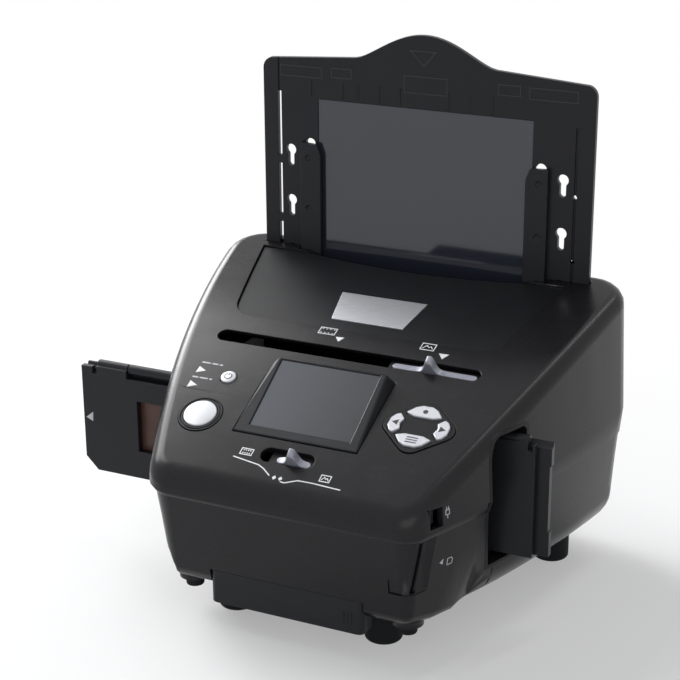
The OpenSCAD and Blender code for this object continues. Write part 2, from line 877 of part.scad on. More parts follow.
module key_board_left() {
    color([0.05, 0.22, 0.12])
    at_left_board()
        difference() {
            box([-14.6, -16.6, -board_depth - board_t], [14, 14.6, -board_depth]);
            for (p = left_posts)
                translate([p[0], p[1], -board_depth - board_t - 1])
                    cylinder(r = 0.8, h = board_t + 2);
        }
}
module key_board_right() {
    color([0.05, 0.22, 0.12])
    at_right_board()
        difference() {
            box([-16, -13.2, -board_depth - board_t], [16, 11.8, -board_depth]);
            for (p = right_posts)
                translate([p[0], p[1], -board_depth - board_t - 1])
                    cylinder(r = 0.8, h = board_t + 2);
        }
}
module key_switch() {
    translate([-switch_w / 2, -switch_w / 2, -board_depth])
        cube([switch_w, switch_w, switch_h - 0.4]);
    translate([0, 0, -board_depth])
        cylinder(r = 1.1, h = switch_h);
}
module key_switches() {
    color([0.6, 0.6, 0.6])
    for (p = left_switches)
        at_left_board()
            translate([p[0], p[1], 0])
            key_switch();
    color([0.6, 0.6, 0.6])
    for (p = right_switches)
        at_right_board()
            translate([p[0], p[1], 0])
            key_switch();
}
module scan_ring() {
    color([0.10, 0.10, 0.11])
    difference() {
        union() {
            on_top(scan_at[0], scan_at[1])
                slab(-ring_low, 0.35)
                circle(r = ring_out_r);
            intersection() {
                top_layer(wall, wall + flange_t);
                on_top(scan_at[0], scan_at[1])
                    slab(-12, 3)
                    circle(r = ring_out_r + 1.2);
            }
        }
        on_top(scan_at[0], scan_at[1]) {
            slab(-12, 3)
                circle(r = scan_r + key_gap);
            difference() {
                slab(-0.3, 3)
                    circle(r = ring_out_r - 0.7);
                slab(-0.4, 4)
                    circle(r = ring_out_r - 1.3);
            }
        }
    }
}
// A push button of radius r whose collar sits just below the depth low
module push_button(r, low) {
    collar_z = -low - key_gap;
    rotate_extrude()
        polygon(concat(
            [[0, -stem_low], [stem_r, -stem_low], [stem_r, collar_z - collar_t],
             [r + collar_up, collar_z - collar_t], [r + collar_up, collar_z], [r, collar_z]],
            [for (a = [0:30:90]) [r - 0.6 + 0.6 * cos(a), cap_up - 0.6 + 0.6 * sin(a)]],
            [[0, cap_up + 0.25]]));
}
module scan_button() {
    color([0.80, 0.81, 0.83])
    on_top(scan_at[0], scan_at[1])
        push_button(scan_r, ring_low);
}
module power_button() {
    color([0.85, 0.86, 0.87])
    on_top(power_at[0], power_at[1])
        push_button(power_r, wall);
}
module status_lights() {
    color([0.85, 0.86, 0.87])
    for (p = light_at)
        on_top(p[0], p[1])
            slab(-board_depth + 0.2, 0.15)
            triangle2d(4.4);
}
function edge_n(p, q) = let (d = q - p) [d[1], -d[0]] / norm(d);
// Outline moved outwards by g, its points running anticlockwise
function grown(pts, g) = [for (i = [0:len(pts) - 1])
    let (q = pts[i],
         m = edge_n(pts[(i + len(pts) - 1) % len(pts)], q),
         k = edge_n(q, pts[(i + 1) % len(pts)]))
    q + (m + k) * g / (1 + m * k)];
wide_key = [[4.4, 5.4], [8.3, 6.9], [5.4, 10.5], [2.4, 12.1],
            [-2.4, 12.1], [-5.4, 10.5], [-8.3, 6.9], [-4.4, 5.4]];
side_key = [[7.8, -3], [10.4, -5.8], [12.3, -4.8], [13.9, -2.2],
            [13.9, 2.2], [12.3, 4.8], [10.4, 5.8], [7.8, 3], [8.8, 0]];
function turned(pts, a) = [for (p = pts)
    [p[0] * cos(a) - p[1] * sin(a), p[0] * sin(a) + p[1] * cos(a)]];
key_shapes = [wide_key, turned(wide_key, 180), turned(side_key, 180), side_key];
key_stems = [[0, key_reach - 2], [0, 2 - key_reach], [-key_reach, 0], [key_reach, 0]];
key_collar = 0.65;
nav_up = 0.4;
module nav_bezel() {
    color([0.10, 0.10, 0.11])
    difference() {
        union() {
            at_right_board()
                slab(-ring_low, nav_up)
                nav_shape(-0.05);
            intersection() {
                top_layer(wall, wall + flange_t);
                at_right_board()
                    slab(-12, 3)
                    nav_shape(0.8);
            }
        }
        for (k = key_shapes)
            at_right_board()
                slab(-12, 6)
                polygon(grown(k, key_gap));
    }
}
module nav_key(i) {
    collar_z = -ring_low - key_gap;
    color([0.80, 0.81, 0.83])
    at_right_board() {
        slab(collar_z - 0.1, nav_up + cap_up)
            polygon(key_shapes[i]);
        slab(collar_z - collar_t, collar_z)
            polygon(grown(key_shapes[i], key_collar));
        translate([key_stems[i][0], key_stems[i][1], -stem_low])
            cylinder(r = stem_r - 0.4, h = 2);
    }
}
module key_top() nav_key(0);
module key_bottom() nav_key(1);
module key_left() nav_key(2);
module key_right() nav_key(3);

// ---- levers ----
// Thumb fin on a flat shoe, drawn in (X, Z) from the shoe's top
module fin2d() {
    r = 1.5;
    polygon(concat([[-6, 0], [6, 0], [3.6, 0.9], [2.4, 2.6], [1.9, 4.6]],
        [for (a = [20:20:160]) [r * cos(a), fin_h - r + r * sin(a)]],
        [[-1.9, 4.6], [-2.4, 2.6], [-3.6, 0.9]]));
}
web_half = 4.6;
keeper_gap = 0.4;
keeper_t = 1.2;
keeper_top = wall + keeper_gap;
// Shoe, fin and keeper of a slide lever in a slot of width w; the shoe lies along the slot's front
module slide_lever(len, w, fin_x, keeper_len) {
    y = -(w - shoe_w) / 2 + key_gap + 0.2;
    slab(-shoe_drop - shoe_t, -shoe_drop)
        translate([0, y])
        slot2d(len, shoe_w);
    translate([fin_x, y, -shoe_drop - 0.05])
        along_y(-1.4, 1.4)
        fin2d();
    box([-web_half, y - 1.3, -keeper_top - 0.1], [web_half, y + 1.3, -shoe_drop - shoe_t + 0.1]);
    box([-keeper_len / 2, -w / 2 - 1.6, -keeper_top - keeper_t],
        [keeper_len / 2, w / 2 + 1.6, -keeper_top]);
}
arm_x = 6;
arm_top_z = 103;
tenon_x = 3.6;
tenon_y = [-7.6, -4.4];
tenon_z = 98;
tenon_fit = 0.05;
module mode_lever() {
    color([0.78, 0.79, 0.81]) {
        on_top(photo_mark_x, mode_y)
            slide_lever(lever_len, slot_w, -2, lever_len + 6);
        box([photo_mark_x - tenon_x, tenon_y[0], tenon_z],
            [photo_mark_x + tenon_x, tenon_y[1], top_z(mode_y) - keeper_top - 0.6]);
    }
}
slide_z = in_z + mount_half + 0.1;
slide_t = 1.6;
focus_tenon = 3;
module focus_lever() {
    color([0.78, 0.79, 0.81]) {
        on_top(focus_rest_x, focus_y)
            slide_lever(focus_shoe_len, focus_slot_w, 0, focus_shoe_len + 10);
        box([focus_rest_x - focus_tenon, focus_y - 1.4, slide_z],
            [focus_rest_x + focus_tenon, focus_y + 1.4, top_z(focus_y) - keeper_top - 0.9]);
    }
}
// Slanted slot that turns the lever's sideways travel into the lens's forward travel
cam_a = atan2(lens_travel, focus_travel);
slide_pin_x = [-22, 4];
slide_pin_y = -46.6;
slide_pin_r = 1.5;
slide_front_y = -71.5;
module focus_slide() {
    color([0.15, 0.15, 0.16])
    difference() {
        union() {
            box([in_x - 13, -54, slide_z], [in_x + 26, slide_pin_y + 3.2, slide_z + slide_t]);
            box([focus_rest_x - 6, slide_front_y, slide_z], [focus_rest_x + 6, -53, slide_z + slide_t]);
        }
        translate([in_x, follower_y, 0])
            rotate([0, 0, cam_a])
            translate([norm([focus_travel, lens_travel]) / 2, 0])
            slab(0, far)
            slot2d(norm([focus_travel, lens_travel]) + 2 * (follower_r + rod_fit),
                   2 * (follower_r + rod_fit));
        for (x = slide_pin_x)
            translate([x + focus_travel / 2, slide_pin_y])
                slab(0, far)
                slot2d(focus_travel + 2 * (slide_pin_r + rod_fit), 2 * (slide_pin_r + rod_fit));
        box([focus_rest_x - focus_tenon - tenon_fit, focus_y - 1.4 - tenon_fit, 0],
            [focus_rest_x + focus_tenon + tenon_fit, focus_y + 1.4 + tenon_fit, far]);
    }
}

// ---- camera ----
mount_y = [-60, -42.5];
mount_top_t = 2;
module lens_mount() {
    color([0.12, 0.12, 0.13])
    difference() {
        union() {
            box([in_x - mount_half, mount_y[0], in_z - mount_half],
                [in_x + mount_half, mount_y[1], in_z + mount_half]);
            box([slide_pin_x[0] - 4, mount_y[0], in_z + mount_half - mount_top_t],
                [slide_pin_x[1] + 4, mount_y[1], in_z + mount_half]);
            box([in_x - 5, mount_y[0], floor_front_z], [in_x + 5, -46, in_z - mount_half + 1]);
            box([in_x - 17, mount_y[0], floor_front_z], [in_x + 17, -46, floor_front_z + 2.4]);
            for (s = [-1, 1])
                box([in_x + s * 11 - 2, mount_y[0], in_z - 9],
                    [in_x + s * 11 + 2, mount_y[0] + 4, in_z + 8]);
        }
        translate([in_x, 0, in_z])
            rotate([90, 0, 0])
            cylinder(r = barrel_out_r + barrel_fit, h = far, center = true);
        // slot for the barrel's follower pin
        translate([in_x, follower_y + lens_travel / 2])
            slab(in_z, far)
            rotate([0, 0, 90])
            slot2d(lens_travel + 2 * follower_r + 1.2, 2 * follower_r + 1);
        for (x = slide_pin_x)
            translate([x, slide_pin_y, in_z])
                cylinder(r = slide_pin_r, h = far);
        for (p = mount_screw_at)
            translate([p[0], p[1], 0])
                cylinder(r = board_screw_r, h = in_z);
    }
}
module slide_screws() {
    color([0.75, 0.76, 0.78])
    for (x = slide_pin_x)
        translate([x, slide_pin_y, in_z + mount_half - mount_top_t])
        rotate_extrude()
        polygon([[0, 0], [slide_pin_r, 0], [slide_pin_r, mount_top_t + slide_t + 0.5],
                 [slide_pin_r + 1.2, mount_top_t + slide_t + 0.5],
                 [slide_pin_r + 1.2, mount_top_t + slide_t + 1.5],
                 [0, mount_top_t + slide_t + 1.5]]);
}
glass_r = 5.5;
module lens_barrel() {
    color([0.08, 0.08, 0.09])
    translate([in_x, 0, in_z])
        difference() {
            union() {
                translate([0, barrel_y0, 0])
                    rotate([-90, 0, 0])
                    cylinder(r = barrel_out_r, h = barrel_y1 - barrel_y0);
                translate([0, follower_y, glass_r + 1])
                    cylinder(r = follower_r, h = mount_half + slide_t + 0.1 - glass_r - 1);
            }
            translate([0, barrel_y0 - 1, 0])
                rotate([-90, 0, 0])
                cylinder(r = glass_r, h = barrel_y1 - barrel_y0 + 2);
        }
}
module lens_glass() {
    color([0.45, 0.55, 0.65])
    for (y = [barrel_y0 + 4, barrel_y1 - 4])
        translate([in_x, y, in_z])
        rotate([-90, 0, 0])
        rotate_extrude()
        polygon([[0, -1.6], [glass_r * 0.5, -1.4], [glass_r, -0.8], [glass_r, 0.8],
                 [glass_r * 0.5, 1.4], [0, 1.6]]);
}
sensor_half = 14;
module sensor_board() {
    color([0.05, 0.22, 0.12]) {
        box([in_x - sensor_half, mount_y[0] - 1.6, in_z - 18], [in_x + sensor_half, mount_y[0], in_z + 8]);
        box([in_x - 5, mount_y[0] - 0.1, in_z - 4], [in_x + 5, mount_y[0] + 1.1, in_z + 4]);
    }
}

// ---- boards and sockets ----
module main_board() {
    z = floor_z + standoff_h;
    color([0.05, 0.22, 0.12])
    difference() {
        union() {
            box([-60, 6, z], [60, board_back_y, z + 1.6]);
            box([-14, 26, z + 1.5], [2, 42, z + 3.6]);
            box([20, 20, z + 1.5], [34, 30, z + 3]);
            box([-50, 24, z + 1.5], [-36, 44, z + 5.5]);
        }
        for (p = standoff_at)
            translate([p[0], p[1], 0])
                cylinder(r = board_screw_r + 0.2, h = far);
    }
}
module board_screw(z, l) {
    translate([0, 0, z - l])
        cylinder(r = board_screw_r, h = l);
    translate([0, 0, z])
        rounded_disc(board_head_r, board_head_t, 0.4);
}
module board_screws() {
    color([0.72, 0.73, 0.75])
    for (p = standoff_at)
        translate([p[0], p[1], 0])
            board_screw(floor_z + standoff_h + 1.6, 4.8);
    color([0.72, 0.73, 0.75])
    for (p = mount_screw_at)
        translate([p[0], p[1], 0])
            board_screw(floor_front_z + 2.4, 4.8);
}
port_board_y = card_y + 1.9;
port_board_t = 1.4;
module port_board() {
    color([0.05, 0.22, 0.12])
    difference() {
        box([apron_half_w + 1, port_board_y, floor_front_z], [60, port_board_y + port_board_t, 74]);
        box([56, port_board_y - 1, 0], [70, port_board_y + 3, seam_z + 1]);
    }
}
module card_socket() {
    y0 = card_socket_y0;
    z0 = card_z - card_slot_h / 2 - 1;
    z1 = card_z + card_slot_h / 2 + 1;
    color([0.72, 0.73, 0.75])
    difference() {
        box([apron_half_w + 1, y0, z0], [port_right_x - 0.4, port_board_y, z1]);
        box([apron_half_w + 2, card_y - card_slot_t / 2, z0 + 1],
            [port_right_x + 1, card_y + card_slot_t / 2, z1 - 1]);
    }
}
module usb_socket() {
    x1 = side_x(usb_y) - 3.4;
    y0 = port_board_y + port_board_t;
    color([0.72, 0.73, 0.75])
    difference() {
        box([x1 - 9, y0, usb_z - usb_h / 2 + 0.4], [x1, usb_y + usb_w / 2 - 0.2, usb_z + usb_h / 2 - 0.4]);
        box([x1 - 8, y0 + 0.5, usb_z - usb_h / 2 + 0.9],
            [x1 + 1, usb_y + usb_w / 2 - 0.7, usb_z + usb_h / 2 - 0.9]);
    }
}
module case_screws() {
    color([0.35, 0.35, 0.36])
    for (p = boss_at)
        translate([p[0], p[1], boss_sink_z]) {
            cylinder(r = screw_r, h = boss_top_z + screw_bite - boss_sink_z);
            rotate([180, 0, 0])
                rounded_disc(screw_head_r, screw_head_t, 0.6);
        }
}

// ---- film ports and channel ----
// Section of the holder, drawn in (Y, Z) and grown by g
module holder_section(g) {
    polygon([[holder_y - g, holder_z - g], [holder_back_y + g, holder_z - g],
             [holder_back_y + g, hinge_z + g], [hinge_y + barrel_r + g, hinge_z + barrel_r + g],
             [hinge_y - barrel_r - g, hinge_z + barrel_r + g], [holder_y - g, hinge_z + g]]);
}
module film_port() {
    difference() {
        intersection() {
            along_x(port_floor_x, 110)
                port_shape(port_wall);
            union() {
                casing_outer();
                tub_outer();
            }
        }
        along_x(port_floor_x + port_wall, 120)
            port_shape(0);
        along_x(port_floor_x - 5, 120)
            holder_section(holder_gap);
    }
}
module film_port_right() {
    color([0.06, 0.06, 0.07])
    film_port();
}
module film_port_left() {
    color([0.06, 0.06, 0.07])
    mirror([1, 0, 0])
        film_port();
}
channel_front_y = holder_y - holder_gap;
channel_back_y = holder_back_y + holder_gap;
channel_low_z = holder_z - holder_gap;
channel_top_z = hinge_z + barrel_r + holder_gap;
foot_half = 4;
module film_channel() {
    color([0.12, 0.12, 0.13])
    difference() {
        union() {
            // lower rail on three legs
            box([-rail_half, channel_front_y - port_wall, channel_low_z - rail_t],
                [rail_half, channel_back_y + port_wall, channel_low_z]);
            for (y = [channel_front_y - port_wall, channel_back_y])
                box([-rail_half, y, channel_low_z - rail_t],
                    [rail_half, y + port_wall, channel_low_z + guide_wall_h]);
            for (x = [foot_half - rail_half, film_mark_x, rail_half - foot_half])
                box([x - foot_half, channel_front_y - port_wall, floor_z],
                    [x + foot_half, channel_back_y + port_wall, channel_low_z - 1]);
            // upper rail
            box([-rail_half, hinge_y - barrel_r - 0.4, channel_top_z],
                [rail_half, channel_back_y + port_wall, channel_top_z + 1.6]);
            box([-rail_half, channel_back_y, channel_top_z - 7],
                [rail_half, channel_back_y + port_wall, channel_top_z + 1]);
            box([-34, channel_front_y - port_wall, channel_top_z],
                [24, channel_back_y, channel_top_z + 1.6]);
            box([-34, channel_front_y - port_wall, channel_top_z - 5],
                [24, channel_front_y, channel_top_z + 1]);
            // posts that join the rails and carry the rods
            for (s = [-1, 1])
                box([s * (post_x + 1.75) - 1.75, channel_back_y, floor_z],
                    [s * (post_x + 1.75) + 1.75, light_y1, channel_top_z + 1.6]);
        }
        for (z = [rod_low_z, rod_top_z])
            translate([0, rod_y, z])
                rotate([0, 90, 0])
                cylinder(r = rod_r, h = 2 * far, center = true);
    }
}
module light_rails() {
    color([0.75, 0.76, 0.78])
    for (z = [rod_low_z, rod_top_z])
        translate([0, rod_y, z])
        rotate([0, 90, 0])
        cylinder(r = rod_r, h = 2 * (post_x + 3.5), center = true);
}

// ---- film light ----
ear_r = 4;
ear_half = 16;
ear_web = 1.5;
module light_carriage() {
    z0 = holder_mid_z - light_h / 2;
    z1 = holder_mid_z + light_h / 2;
    x0 = photo_mark_x - light_w / 2;
    x1 = photo_mark_x + light_w / 2;
    color([0.80, 0.81, 0.80])
    difference() {
        union() {
            box([x0, light_y0, z0], [x1, light_y1, z1]);
            for (z = [rod_low_z, rod_top_z])
                translate([photo_mark_x - ear_half, rod_y, z])
                    rotate([0, 90, 0])
                    cylinder(r = ear_r, h = 2 * ear_half);
            box([photo_mark_x - ear_half, rod_y - ear_web, z1 - 1],
                [photo_mark_x + ear_half, rod_y + ear_web, rod_top_z - rod_r - 1]);
            box([photo_mark_x - ear_half, rod_y - ear_web, rod_low_z + rod_r + 1],
                [photo_mark_x + ear_half, rod_y + ear_web, z0 + 1]);
            box([photo_mark_x - arm_x, tenon_y[0] - 1.6, rod_top_z + rod_r + 1],
                [photo_mark_x + arm_x, tenon_y[1] + 1.6, arm_top_z]);
        }
        box([x0 + light_wall, light_y0 - 1, z0 + light_wall],
            [x1 - light_wall, light_y1 - light_wall, z1 - light_wall]);
        for (z = [rod_low_z, rod_top_z])
            translate([0, rod_y, z])
                rotate([0, 90, 0])
                cylinder(r = rod_r + rod_fit, h = 2 * far, center = true);
        box([photo_mark_x - tenon_x - tenon_fit, tenon_y[0] - tenon_fit, tenon_z - 0.5],
            [photo_mark_x + tenon_x + tenon_fit, tenon_y[1] + tenon_fit, far]);
    }
}
module light_plate(y0, y1) {
    h = light_h / 2 - light_wall;
    w = light_w / 2 - light_wall;
    box([photo_mark_x - w, y0, holder_mid_z - h], [photo_mark_x + w, y1, holder_mid_z + h]);
}
module light_diffuser() {
    color([0.95, 0.95, 0.93])
    light_plate(light_y0, light_y0 + 1.6);
}
module light_board() {
    color([0.92, 0.92, 0.90])
    light_plate(light_y1 - light_wall - 1.6, light_y1 - light_wall);
    color([0.95, 0.90, 0.60])
    for (i = [-1:1], j = [-1:1])
        translate([photo_mark_x + i * 12, light_y1 - light_wall - 1.6, holder_mid_z + j * 10])
            rotate([90, 0, 0])
            cylinder(r = 1.6, h = 1);
}
lamp_x = 72;
module photo_lights() {
    color([0.92, 0.92, 0.90])
    for (s = [-1, 1])
        box([s * lamp_x - 1, 16, floor_z], [s * lamp_x + 1, 40, 96]);
}

// ---- film holder ----
// Knuckles of the holder's hinge: left end, right end, 1 for the cover's
knuckles = [[-127.6, -110.8, 1], [-110.4, -70.4, 0], [-70, -40, 1], [-39.6, -2.4, 0],
            [-2, 28, 1], [28.4, 74.6, 0], [75, 91, 1]];
module knuckle(k) {
    translate([k[0], hinge_y, hinge_z])
        rotate([0, 90, 0])
        cylinder(r = barrel_r, h = k[1] - k[0]);
}
gate_x = [for (i = [0:gate_n - 1]) first_gate_x + i * gate_pitch];
base_y = holder_y + cover_t + 0.3;
corner_cut = 6.5;
// Outline of the holder's plates in (X, Z), from x0 to x1 and up to z1
module plate2d(x0, x1, z1) {
    polygon([[x0 + corner_cut, holder_z], [x1, holder_z], [x1, z1], [x0, z1], [x0, holder_z + corner_cut]]);
}
module holder_base() {
    color([0.10, 0.10, 0.11])
    difference() {
        union() {
            difference() {
                along_y(base_y, holder_back_y)
                    plate2d(holder_left_x, holder_right_x, holder_z + holder_h);
                translate([-far, hinge_y, hinge_z])
                    rotate([0, 90, 0])
                    cylinder(r = barrel_r + holder_gap, h = 2 * far);
            }
            for (k = knuckles)
                if (k[2] == 0) {
                    knuckle(k);
                    box([k[0], hinge_y, hinge_z - barrel_r - 1.2], [k[1], hinge_y + 4, hinge_z - 0.2]);
                }
        }
        for (x = gate_x)
            box([x - gate_w / 2, holder_y, holder_mid_z - gate_h / 2],
                [x + gate_w / 2, 0, holder_mid_z + gate_h / 2]);
        box([gate_x[0] - gate_pitch / 2 - 0.6, holder_y, holder_mid_z - film_w / 2 - 0.2],
            [gate_x[gate_n - 1] + gate_pitch / 2 + 0.6, base_y + film_t, holder_mid_z + film_w / 2 + 0.2]);
        translate([-far, hinge_y, hinge_z])
            rotate([0, 90, 0])
            cylinder(r = pin_r, h = 2 * far);
        // right end set back between its two corners
        box([holder_right_x - 0.7, holder_y, holder_z + 12], [holder_right_x + 1, 0, holder_z + 43.5]);
    }
}
cover_top_z = holder_z + holder_h - 3.4;
module holder_cover() {
    color([0.10, 0.10, 0.11])
    difference() {
        union() {
            along_y(holder_y, holder_y + cover_t)
                plate2d(holder_left_x, cover_right_x, cover_top_z);
            for (k = knuckles)
                if (k[2] == 1) {
                    knuckle(k);
                    box([k[0], holder_y, cover_top_z - 1], [k[1], hinge_y, hinge_z]);
                }
            // full height outside the hinge
            for (x = [[holder_left_x, knuckles[0][0] - 2.2], [93, cover_right_x]])
                box([x[0], holder_y, cover_top_z - 1], [x[1], hinge_y, holder_z + holder_h]);
        }
        for (x = gate_x)
            box([x - gate_w / 2, -far, holder_mid_z - gate_h / 2],
                [x + gate_w / 2, far, holder_mid_z + gate_h / 2]);
        translate([-far, hinge_y, hinge_z])
            rotate([0, 90, 0])
            cylinder(r = pin_r, h = 2 * far);
    }
}
module holder_pin() {
    color([0.75, 0.76, 0.78])
    translate([knuckles[0][0], hinge_y, hinge_z])
        rotate([0, 90, 0])
        cylinder(r = pin_r, h = knuckles[len(knuckles) - 1][1] - knuckles[0][0]);
}
perf_pitch = 4.75;
module film_strip() {
    x0 = gate_x[0] - gate_pitch / 2;
    x1 = gate_x[gate_n - 1] + gate_pitch / 2;
    n = floor((x1 - x0) / perf_pitch);
    color([0.35, 0.17, 0.08])
    difference() {
        box([x0, base_y + 0.1, holder_mid_z - film_w / 2],
            [x1, base_y + film_t, holder_mid_z + film_w / 2]);
        for (i = [0:n - 1], s = [-1, 1])
            translate([x0 + (i + 0.5) * perf_pitch, base_y, holder_mid_z + s * 14.2])
                cube([2.8, 3, 2], center = true);
    }
}

// ---- photo tray ----
hump_half = 36;
hump_rise = 3;
shoulder_r = 5.5;
function hump_z(x) = tray_top_z + hump_rise + hump_h * pow(max(0, 1 - pow(x / hump_half, 2)), 1.6);
hump_n = 12;
tray_foot_gap = 0.3;
tray_right = concat(
    [[tray_half_w - 3, tray_bottom_z], [tray_half_w, tray_bottom_z + 3]],
    [for (a = [0:15:75]) [tray_half_w - shoulder_r + shoulder_r * cos(a),
                          tray_top_z - shoulder_r + shoulder_r * sin(a)]],
    [for (i = [hump_n:-1:1]) [hump_half * i / hump_n, hump_z(hump_half * i / hump_n)]]);
module tray_outline() {
    polygon(concat(tray_right, [[0, hump_z(0)]],
        [for (i = [len(tray_right) - 1:-1:0]) [-tray_right[i][0], tray_right[i][1]]]));
}
function keyhole_z(i, column) = peg_z - i * keyhole_pitch - column * outer_drop;
module keyhole2d() {
    translate([0, guide_lift])
        circle(r = key_wide_r);
    circle(r = peg_r + peg_fit);
    translate([-peg_r - peg_fit, 0])
        square([2 * (peg_r + peg_fit), guide_lift]);
}
module box2(lo, hi) {
    translate(lo)
        square(hi - lo);
}
slit_x = tray_half_w - 8.6;
module tray_frame() {
    color([0.10, 0.10, 0.11])
    difference() {
        union() {
            along_y(tray_y, tray_back_y)
                tray_outline();
            // raised ribs above the pane
            for (x = [-59.1, -42.2, -34.1, -23, -12.2, 12.7, 23.8, 34.9])
                box([x - 0.5, tray_y - 0.4, pane_top_z + 1.2], [x + 0.5, tray_y + 1, pane_top_z + 9.4]);
        }
        along_y(tray_y - 5, tray_back_y + 5)
            box2([-pane_half_w, pane_bottom_z], [pane_half_w, pane_top_z]);
        along_y(tray_y + pane_set, tray_back_y + 5)
            box2([-pane_half_w - 1.8, pane_bottom_z - 1.8], [pane_half_w + 1.8, pane_top_z + 1.8]);
        for (s = [-1, 1], i = [0:key_rows - 1], c = [0, 1])
            along_y(tray_y - 5, tray_back_y + 5)
                translate([s * (c == 0 ? inner_key_x : outer_key_x), keyhole_z(i, c)])
                keyhole2d();
        // slits by the edges
        along_y(tray_y - 5, tray_back_y + 5) {
            box2([-slit_x - 1, 178.7], [-slit_x + 1, 211]);
            box2([-slit_x - 1, 148.5], [-slit_x + 1, 174.7]);
            box2([-slit_x - 1, 118], [-slit_x + 1, 144.5]);
            translate([slit_x, 174.3])
                circle(r = 1);
            translate([slit_x, 143.1])
                circle(r = 1);
        }
        box([slit_x - 0.5, tray_y - 1, 118], [slit_x + 0.5, tray_y + 0.8, 207]);
        box([-slit_x - 0.5, tray_y - 1, 211], [-slit_x + 0.5, tray_y + 0.8, tray_top_z + 20]);
    }
}
module tray_pane() {
    color([0.05, 0.08, 0.20])
    along_y(tray_y + pane_set, tray_y + pane_set + pane_t)
        box2([-pane_half_w - 1.6, pane_bottom_z - 1.6], [pane_half_w + 1.6, pane_top_z + 1.6]);
}
guide_lip = 3;
photo_gap = 1;
module photo_guide() {
    x1 = guide_in_x + guide_w;
    back = tray_y - guide_gap;
    difference() {
        along_y(guide_front_y, back)
            polygon([[guide_in_x, guide_low_z], [x1, guide_low_z], [x1, guide_top_z],
                     [guide_in_x + 2, guide_top_z - 0.6], [guide_in_x, guide_top_z - 6]]);
        // undercut that holds the edge of a print
        box([guide_in_x - 1, back - photo_gap, guide_low_z - 1],
            [guide_in_x + guide_lip, back + 1, guide_top_z + 1]);
        for (i = peg_rows)
            translate([inner_key_x, guide_front_y - 1, peg_z - i * keyhole_pitch])
                rotate([-90, 0, 0])
                cylinder(r = peg_r, h = 1.6);
    }
    for (i = peg_rows)
        translate([inner_key_x, back - 0.1, peg_z - i * keyhole_pitch])
            rotate([-90, 0, 0])
            rotate_extrude()
            polygon([[0, 0], [peg_r, 0], [peg_r, tray_t + guide_gap + 0.4],
                     [peg_head_r, tray_t + guide_gap + 0.4],
                     [peg_head_r, tray_t + guide_gap + 1.4], [0, tray_t + guide_gap + 1.6]]);
}
module photo_guide_right() {
    color([0.09, 0.09, 0.10])
    photo_guide();
}
module photo_guide_left() {
    color([0.09, 0.09, 0.10])
    mirror([1, 0, 0])
        photo_guide();
}
// Upright rail round one edge of the tray
module tray_rail() {
    difference() {
        box([tray_half_w - rail_lip, tray_y - tray_gap - rail_wall, floor_z],
            [tray_half_w + tray_gap + rail_wall, tray_back_y + tray_gap + rail_wall, 140]);
        box([0, tray_y - tray_gap, tray_bottom_z - tray_foot_gap],
            [tray_half_w + tray_gap, tray_back_y + tray_gap, 141]);
        top_layer(-80, wall);
    }
}
module tray_rail_right() {
    color([0.12, 0.12, 0.13])
    tray_rail();
}
module tray_rail_left() {
    color([0.12, 0.12, 0.13])
    mirror([1, 0, 0])
        tray_rail();
}

upper_casing();
lower_tub();
front_apron();
top_panel();
name_plate();
lcd_bezel();
lcd_window();
lcd_module();
scan_ring();
nav_bezel();
status_lights();
key_board_left();
key_board_right();
key_switches();
main_board();
port_board();
card_socket();
usb_socket();
sensor_board();
lens_mount();
film_port_left();
film_port_right();
film_channel();
light_rails();
tray_rail_left();
tray_rail_right();
photo_lights();
front_feet();
middle_feet();
rear_feet();
case_screws();
board_screws();
tray_frame();
tray_pane();
photo_guide_left();
photo_guide_right();
holder_base();
holder_cover();
holder_pin();
film_strip();
light_carriage();
light_diffuser();
light_board();
mode_lever();
focus_lever();
focus_slide();
lens_barrel();
lens_glass();
scan_button();
power_button();
key_top();
key_bottom();
key_left();
key_right();
slide_screws();
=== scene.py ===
import json
import math

import bmesh
import bpy
from mathutils import Matrix, Vector


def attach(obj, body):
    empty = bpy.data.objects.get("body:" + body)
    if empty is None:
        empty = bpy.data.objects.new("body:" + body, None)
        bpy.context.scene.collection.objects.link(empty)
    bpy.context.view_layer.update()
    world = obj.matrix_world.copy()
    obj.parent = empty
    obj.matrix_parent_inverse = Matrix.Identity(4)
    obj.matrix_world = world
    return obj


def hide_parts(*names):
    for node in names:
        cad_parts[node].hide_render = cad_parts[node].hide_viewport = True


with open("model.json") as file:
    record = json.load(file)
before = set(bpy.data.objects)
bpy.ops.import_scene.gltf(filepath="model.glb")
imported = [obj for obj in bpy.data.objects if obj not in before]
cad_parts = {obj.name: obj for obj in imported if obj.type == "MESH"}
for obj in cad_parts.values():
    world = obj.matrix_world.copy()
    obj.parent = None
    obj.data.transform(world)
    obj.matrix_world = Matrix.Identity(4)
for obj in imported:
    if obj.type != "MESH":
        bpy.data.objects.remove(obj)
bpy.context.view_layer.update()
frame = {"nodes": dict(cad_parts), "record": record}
NODES = frame["nodes"]
BODY_OF = {n: b for b, ns in frame["record"]["behaviour"]["bodies"].items() for n in ns}
SLOT_OF = {s["node"]: s["material_slot"] for s in frame["record"]["subparts"]}
MM = 0.001

